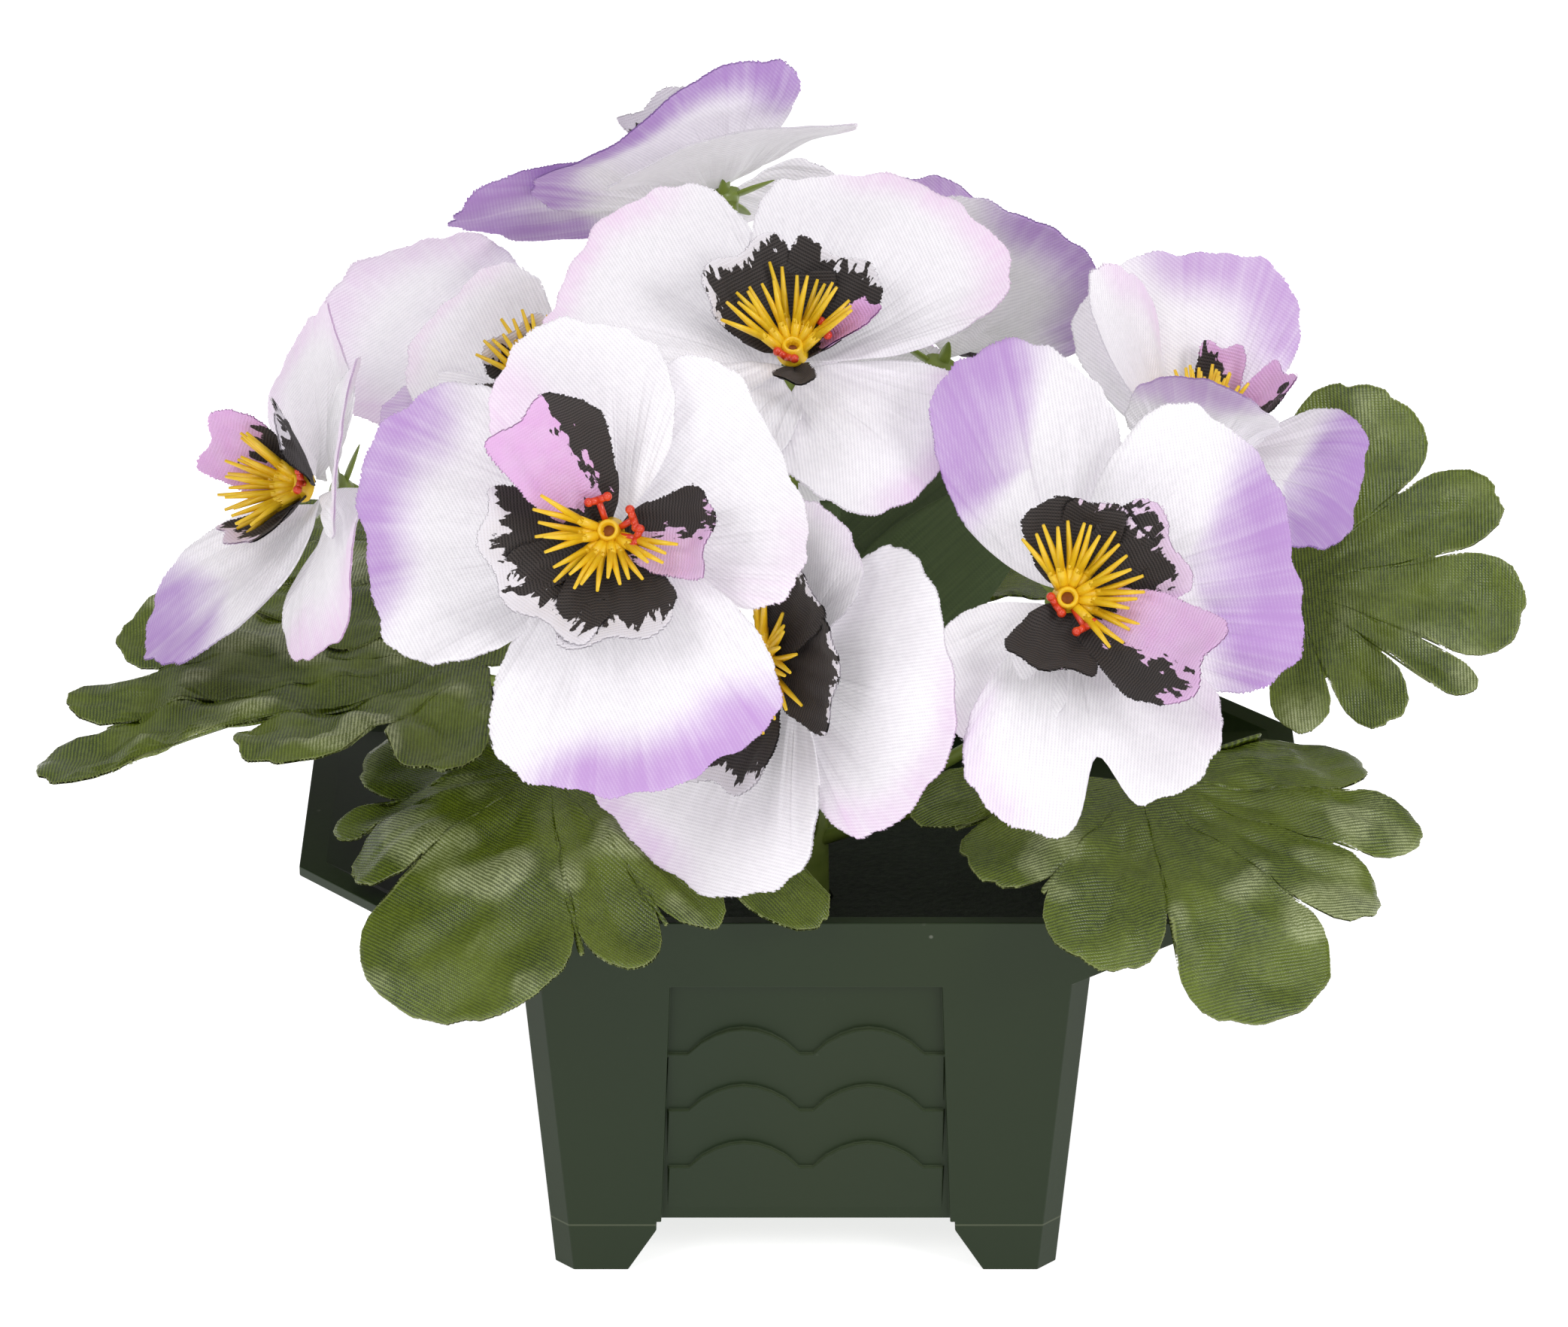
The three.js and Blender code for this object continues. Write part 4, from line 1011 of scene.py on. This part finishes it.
def lobe_edge(aside, span, length, cut, at_end):
    """How far the edge reaches at a distance from the lobe's side: cut, rounded corner, round end."""
    slot, corner = (0 if at_end else SLOT), lobe_corner(span, at_end)
    if not at_end and aside <= slot + 1e-6:
        return cut
    inside = min(max((aside - slot) / corner, 0), 1)
    round_end = length * (1 - min(0.05 + span / 400, 0.2) * (1 - 2 * aside / span) ** 2)
    return round_end - corner * (1 - math.sqrt(1 - (1 - inside) ** 2))


print("a 20 mm wide lobe has corners of", lobe_corner(20, False), "mm")


# %% Leaf rule
VEIN_DEPTH, VEIN_HALF_WIDTH, WRINKLE_DEPTH = 0.4, 1.5, 0.36
SCALLOP, SCALLOP_DEPTH, NIBBLE = 8.5, 0.9, 0.6


def leaf_relief(flat, r, turn, from_vein, near_edge, wave, seed):
    """The swell of the leaf, and its whole relief with the vein, the wrinkles and the wave of the edge."""
    x, y = flat
    vein = -VEIN_DEPTH * math.exp(-((from_vein / VEIN_HALF_WIDTH) ** 2)) * smooth(r / 14) * near_edge
    ribs = math.sin((r - 0.8 * abs(from_vein)) * 0.62 + noise.noise(Vector((x * 0.1, y * 0.1, seed))) * 3)
    ribs *= WRINKLE_DEPTH * smooth(abs(from_vein) / 4) * near_edge * smooth(r / 16)
    spot = Vector((x, y, seed * 10 + 5))
    swell = wave * (1.3 * noise.noise(spot * 0.05) + 0.75 * noise.noise(spot * 0.12)) * smooth(r / 20)
    edge_wave = wave * 0.8 * (r / 60) ** 2 * ripple(turn * 5.5 + seed * 60)
    return swell, vein + ribs + swell + edge_wave


def leaf_rule(leaf, seed):
    """The facts of a leaf: blush is its dark eye and tone its swell, where the finish paints paler highlights.
    """
    lobes, end, tilts = leaf["lobes"], leaf["end"], leaf["tilt"]
    count = len(lobes)

    def rule(u, v):
        column = round((u + 1) / 2 * count * LOBE_COLUMNS)
        i = min(column // LOBE_COLUMNS, count - 1)
        index, row = column - i * LOBE_COLUMNS, (v + 1) / 2
        begin, length = lobes[i][:2]
        finish = lobes[i + 1][0] if i + 1 < count else end
        span = math.radians(finish - begin) * length
        right_half = index > LOBE_COLUMNS / 2
        aside = lobe_aside(index, span, i == 0, i == count - 1)
        share = aside / span if not right_half else 1 - aside / span
        at_end = (i == count - 1) if right_half else i == 0
        slot = 0 if at_end else SLOT
        neighbour = lobes[min(i + 1, count - 1)] if right_half else lobes[max(i - 1, 0)]
        owner = neighbour if right_half else lobes[i]
        cut = (owner[2] if len(owner) > 2 else USUAL_CUT) * min(length, neighbour[1])
        edge = lobe_edge(aside, span, length, cut, at_end)
        turn = begin + (finish - begin) * share
        arc = math.radians(turn) * length
        whole = smooth((aside - slot) / 3)
        edge -= whole * SCALLOP_DEPTH * (1 - abs(math.sin(arc / SCALLOP * math.pi))) ** 2
        edge += whole * NIBBLE * noise.noise(Vector((arc * 0.5, seed, 0)))
        r = LEAF_EYE + (edge - LEAF_EYE) * row
        flat = (r * ripple(turn), r * math.cos(math.radians(turn)))
        from_vein = r * ripple(turn - (begin + finish) / 2)
        free = smooth((r - cut) / (0.35 * length))
        tilt = tilts[i] * free * (2 * share - 1)
        near_edge = smooth((edge - r) / 7)
        swell, relief = leaf_relief(flat, r, turn, from_vein, near_edge, leaf["wave"], seed)
        to_side = math.radians(finish - turn if right_half else turn - begin) * r - slot
        rim = min(edge - r, to_side) if r > cut and not at_end else edge - r
        facts = {"rim": max(rim, 0), "blush": 1 - smooth(r / 24), "tone": swell / 3}
        return bend(*flat, *leaf["bent"]), flat, tilt + relief, facts

    return rule


print("leaf rule ready, with", LOBE_COLUMNS, "columns to a lobe")

# %% [markdown]
# ## Leaf finish
# Olive cloth with a satin gloss. Its threads get a painted highlight that makes them lighter than the gaps
# between them, the swells of the leaf get painted highlights in paler patches, the eye is darker and greyer,
# and the cut edge shows pale thread ends. Each of these is one colour laid over the last by its own mask.

# %% Leaf finish
DARK_LEAF, LIGHT_LEAF, LEAF_EYE_COLOUR = dye(50, 64, 12), dye(84, 98, 18), dye(52, 60, 24)
LEAF_THREAD_HIGHLIGHT, LEAF_PAINTED_SHINE, LEAF_EDGE = dye(112, 130, 34), dye(186, 194, 146), dye(146, 156, 92)

leaf_cloth = Finish("leaf cloth", Specular_IOR_Level=0.55)
height, flat = weave(leaf_cloth)
mottle = leaf_cloth.grain(0.06, flat, 4.0)
fine = leaf_cloth.grain(0.8, flat, 3.0)
green = leaf_cloth.blend(leaf_cloth.step(mottle, 0.35, 0.65), DARK_LEAF, LIGHT_LEAF)
green = leaf_cloth.blend(leaf_cloth.fact("blush") * 0.7, green, LEAF_EYE_COLOUR)
# Painted highlight: thread tops are coloured lighter than the gaps between them.
dots = leaf_cloth.step(height + (fine - 0.5) * 0.7, 0.25, 0.9)
green = leaf_cloth.blend(dots * 0.8, green, LEAF_THREAD_HIGHLIGHT)
drift = (leaf_cloth.grain(0.09, flat, 1.0) - 0.5) * 0.7
# Painted highlight: the swells of the leaf are coloured paler in patches, as satin catches light.
painted_shine = leaf_cloth.step(leaf_cloth.fact("tone") + drift, 0.16, 0.5)
green = leaf_cloth.blend(painted_shine * (0.15 + 0.6 * dots), green, LEAF_PAINTED_SHINE)
at_rim = 1 - leaf_cloth.step(leaf_cloth.fact("rim"), 0.1, 0.5)
green = leaf_cloth.blend(at_rim * 0.7, green, LEAF_EDGE)
leaf_cloth.wear(
    Base_Color=green,
    Roughness=0.3 - 0.06 * height + 0.1 * (fine - 0.5),
    Alpha=frayed(leaf_cloth, height, flat, 0.3),
    Normal=leaf_cloth.bump(height, 0.2 * MM, 0.5),
)
print("leaf finish:", leaf_cloth.material.name)

# %% Leaves
LEAF_ROWS = 34

for number, (name, leaf) in enumerate(LEAVES.items()):
    stand = leaf_stand(leaf["base"], leaf["run"])
    cloth = Cloth("leaf_cloth_" + name)
    cloth.add(LOBE_COLUMNS * len(leaf["lobes"]), LEAF_ROWS, leaf_rule(leaf, 2.7 * number), stand)
    cloth.finish("leaf_" + name, "leaves", leaf_cloth.material)
print("cloths with the leaves:", len(flat_area))

# %% [markdown]
# ## Strap leaves
# In the middle of the bush stand a few plain, darker leaves with fine parallel lines. They have no lobes, so
# a plain grid does, and noise drawn out along them makes their lines.

# %% Strap finish
strap_finish = Finish("strap leaf cloth", Specular_IOR_Level=0.4)
height, flat = weave(strap_finish)
lines = strap_finish.grain(1.0, flat, 2.0, stretch=(1.6, 0.03, 1))
strap_finish.wear(
    Base_Color=strap_finish.blend(lines, dye(52, 70, 36), dye(82, 100, 54)),
    Roughness=0.55 - 0.1 * height,
    Normal=strap_finish.bump(height * 0.4 + lines, 0.3 * MM, 0.6),
)
print("strap finish:", strap_finish.material.name)

# %% Strap leaves
STRAP_GRID = (16, 36)
STRAPS = {
    "centre": {"base": (2, 12, 108), "run": (76, 50), "bent": (66, 28, 0, -14, 10, 62)},
    "right": {"base": (7, -3, 103), "run": (82, 52), "bent": (60, 24, 0, -10, 8, 70)},
    "low_right": {"base": (3, -11, 103), "run": (12, 84), "bent": (40, 11, 0, -6, 12, 0)},
}


def strap_rule(strap, seed):
    length, width = strap["bent"][:2]

    def rule(u, v):
        share = (v + 1) / 2
        half = width / 2 * (0.35 + 0.65 * math.sin(math.pi * min(share + 0.12, 1) ** 0.8))
        x, y = u * half, length * share
        relief = 0.5 * noise.noise(Vector((x * 0.1, y * 0.1, seed))) - 0.5 * math.exp(-((x / 1.2) ** 2))
        return bend(x, y, *strap["bent"]), (x, y), relief, {}

    return rule


for number, (name, strap) in enumerate(STRAPS.items()):
    cloth = Cloth("strap_cloth_" + name)
    cloth.add(*STRAP_GRID, strap_rule(strap, number * 3.0), leaf_stand(strap["base"], strap["run"]))
    cloth.finish("strap_leaf_" + name, "leaves", strap_finish.material)
print("strap leaves:", len(STRAPS))

# %% [markdown]
# ## Stems
# The stalks are glossy yellow-green plastic. Each flower stalk ends in a cup, the calyx, with five blunt
# sepals that lie against the backs of the petals. A curve object could draw a stalk, but a grid rolled into a
# tube round a curve joins the cups and sepals in one mesh, and its radius changes along the way.

# %% Stem finish
stalk_dyes = (dye(104, 124, 44), dye(150, 168, 76))
stem_finish, spots = glossy_plastic("green stalk plastic", 0.2, 220.0, 3.0, stalk_dyes, (0.32, 0.2))
stem_finish.wear(Normal=stem_finish.bump(spots, 0.2 * MM, 0.5))
print("stem finish:", stem_finish.material.name)


# %% Tubes and sepals
def bezier(points, t):
    """A point of the smooth curve that some points pull on, at a share t of its way."""
    while len(points) > 1:
        points = [a.lerp(b, t) for a, b in zip(points, points[1:])]
    return points[0]


def tube(bm, points, radii, sides=12, steps=28):
    """A grid rolled round a curve; radii at its start and end."""
    verts = bmesh.ops.create_grid(bm, x_segments=sides, y_segments=steps, size=1.0)["verts"]
    for vert in verts:
        turn, t = vert.co.x * math.pi, (vert.co.y + 1) / 2
        middle = bezier(points, t)
        ahead = (bezier(points, min(t + 0.01, 1)) - bezier(points, max(t - 0.01, 0))).normalized()
        side = ahead.cross(Vector((0.3, 1, 0.1))).normalized()
        radius = radii[0] + (radii[1] - radii[0]) * t
        vert.co = middle + radius * (side * math.cos(turn) + ahead.cross(side) * math.sin(turn))
    bmesh.ops.remove_doubles(bm, verts=verts, dist=0.01)


def sepal(bm, turn, stand):
    """A flat, pointed scale pressed to the backs of the petals."""
    made = bmesh.ops.create_uvsphere(bm, u_segments=12, v_segments=8, radius=1.0)["verts"]
    for vert in made:
        x, y, z = vert.co.z, vert.co.x, vert.co.y
        taper = 0.66 - 0.26 * x
        vert.co = Vector((1.7 * y * taper, 4.6 * x + 6.0, 0.5 * z * taper - 2.7 - 0.02 * (x + 1) ** 2))
    bmesh.ops.transform(bm, matrix=stand @ Matrix.Rotation(math.radians(-turn), 4, "Z"), verts=made)


print("halfway along a straight stalk of 8 mm:", bezier([Vector((0, 0, 0)), Vector((0, 0, 8))], 0.5).z, "mm")

# %% Stalks
TRUNK_LOW, TRUNK_HIGH, TRUNK_RADII = 20, 86, (5.0, 4.0)
FLOWER_FORK, FLOWER_KNEE, LEAF_FORK = 78, 92, 66
FLOWER_RADII, LEAF_RADII, UNDER_LEAF = (1.7, 1.5), (1.4, 1.0), 2.05
CUP = ((-7.9, 1.6), (-4.4, 2.6), (-1.9, 3.8))
SEPALS = 5


def fork_at(place, height):
    """Where a stalk leaves the trunk: off its middle, towards the place that the stalk goes to."""
    return Vector((place[0], place[1], 0)).normalized() * 2 + Vector((0, 0, height))


def flower_stalk(bm, bloom):
    """A stalk that rises steeply, comes to its bloom from behind and ends in the calyx."""
    stand = bloom_stand(bloom)
    root = fork_at(bloom["hub"], FLOWER_FORK)
    behind = stand @ Vector((0, 0, -40))
    knee = root.lerp(behind - SHIFT, 0.3)
    knee.z = FLOWER_KNEE
    tube(bm, [root + SHIFT, knee + SHIFT, behind, stand @ Vector((0, 0, -5.5))], FLOWER_RADII)
    for (low, narrow), (high, wide) in zip(CUP, CUP[1:]):
        rod(bm, (0, 0, low), (0, 0, high), (narrow, wide), stand, 16)
    for i in range(SEPALS):
        sepal(bm, 360 / SEPALS * i + 30, stand)


def leaf_stalk(bm, leaf):
    """A stalk that runs on under the leaf's base."""
    stand = leaf_stand(leaf["base"], leaf["run"])
    roll = math.radians(leaf["bent"][5])
    under = Vector((-UNDER_LEAF * math.sin(roll), 0, -UNDER_LEAF * math.cos(roll)))
    root = fork_at(leaf["base"], LEAF_FORK) + SHIFT
    tube(bm, [root, stand @ (under + Vector((0, -14, 0))), stand @ (under + Vector((0, 6, 0)))], LEAF_RADII)


bm = bmesh.new()
rod(bm, (0, 0, TRUNK_LOW), (0, 0, TRUNK_HIGH), TRUNK_RADII, Matrix.Translation(SHIFT), 20)
for bloom in BLOOMS.values():
    flower_stalk(bm, bloom)
for leaf in [*LEAVES.values(), *STRAPS.values()]:
    leaf_stalk(bm, leaf)
bmesh.ops.recalc_face_normals(bm, faces=bm.faces)
stalks = smooth_piece("stalks", bm, [stem_finish.material])
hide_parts("stems")
print("stalks:", len(BLOOMS) + len(LEAVES) + len(STRAPS))

# %% [markdown]
# ## Cloth sizes
# The size of the square that each cloth piece was cut from follows from its own flat area: a round or lobed
# piece fills about 62 percent of its square.

SHARE_OF_SQUARE = 0.62

for name, area in flat_area.items():
    side = math.sqrt(area / SHARE_OF_SQUARE)
    piece = bpy.data.objects[name]
print("sheets:", len(flat_area), "with", round(sum(flat_area.values()) * 1e4), "square centimetres")
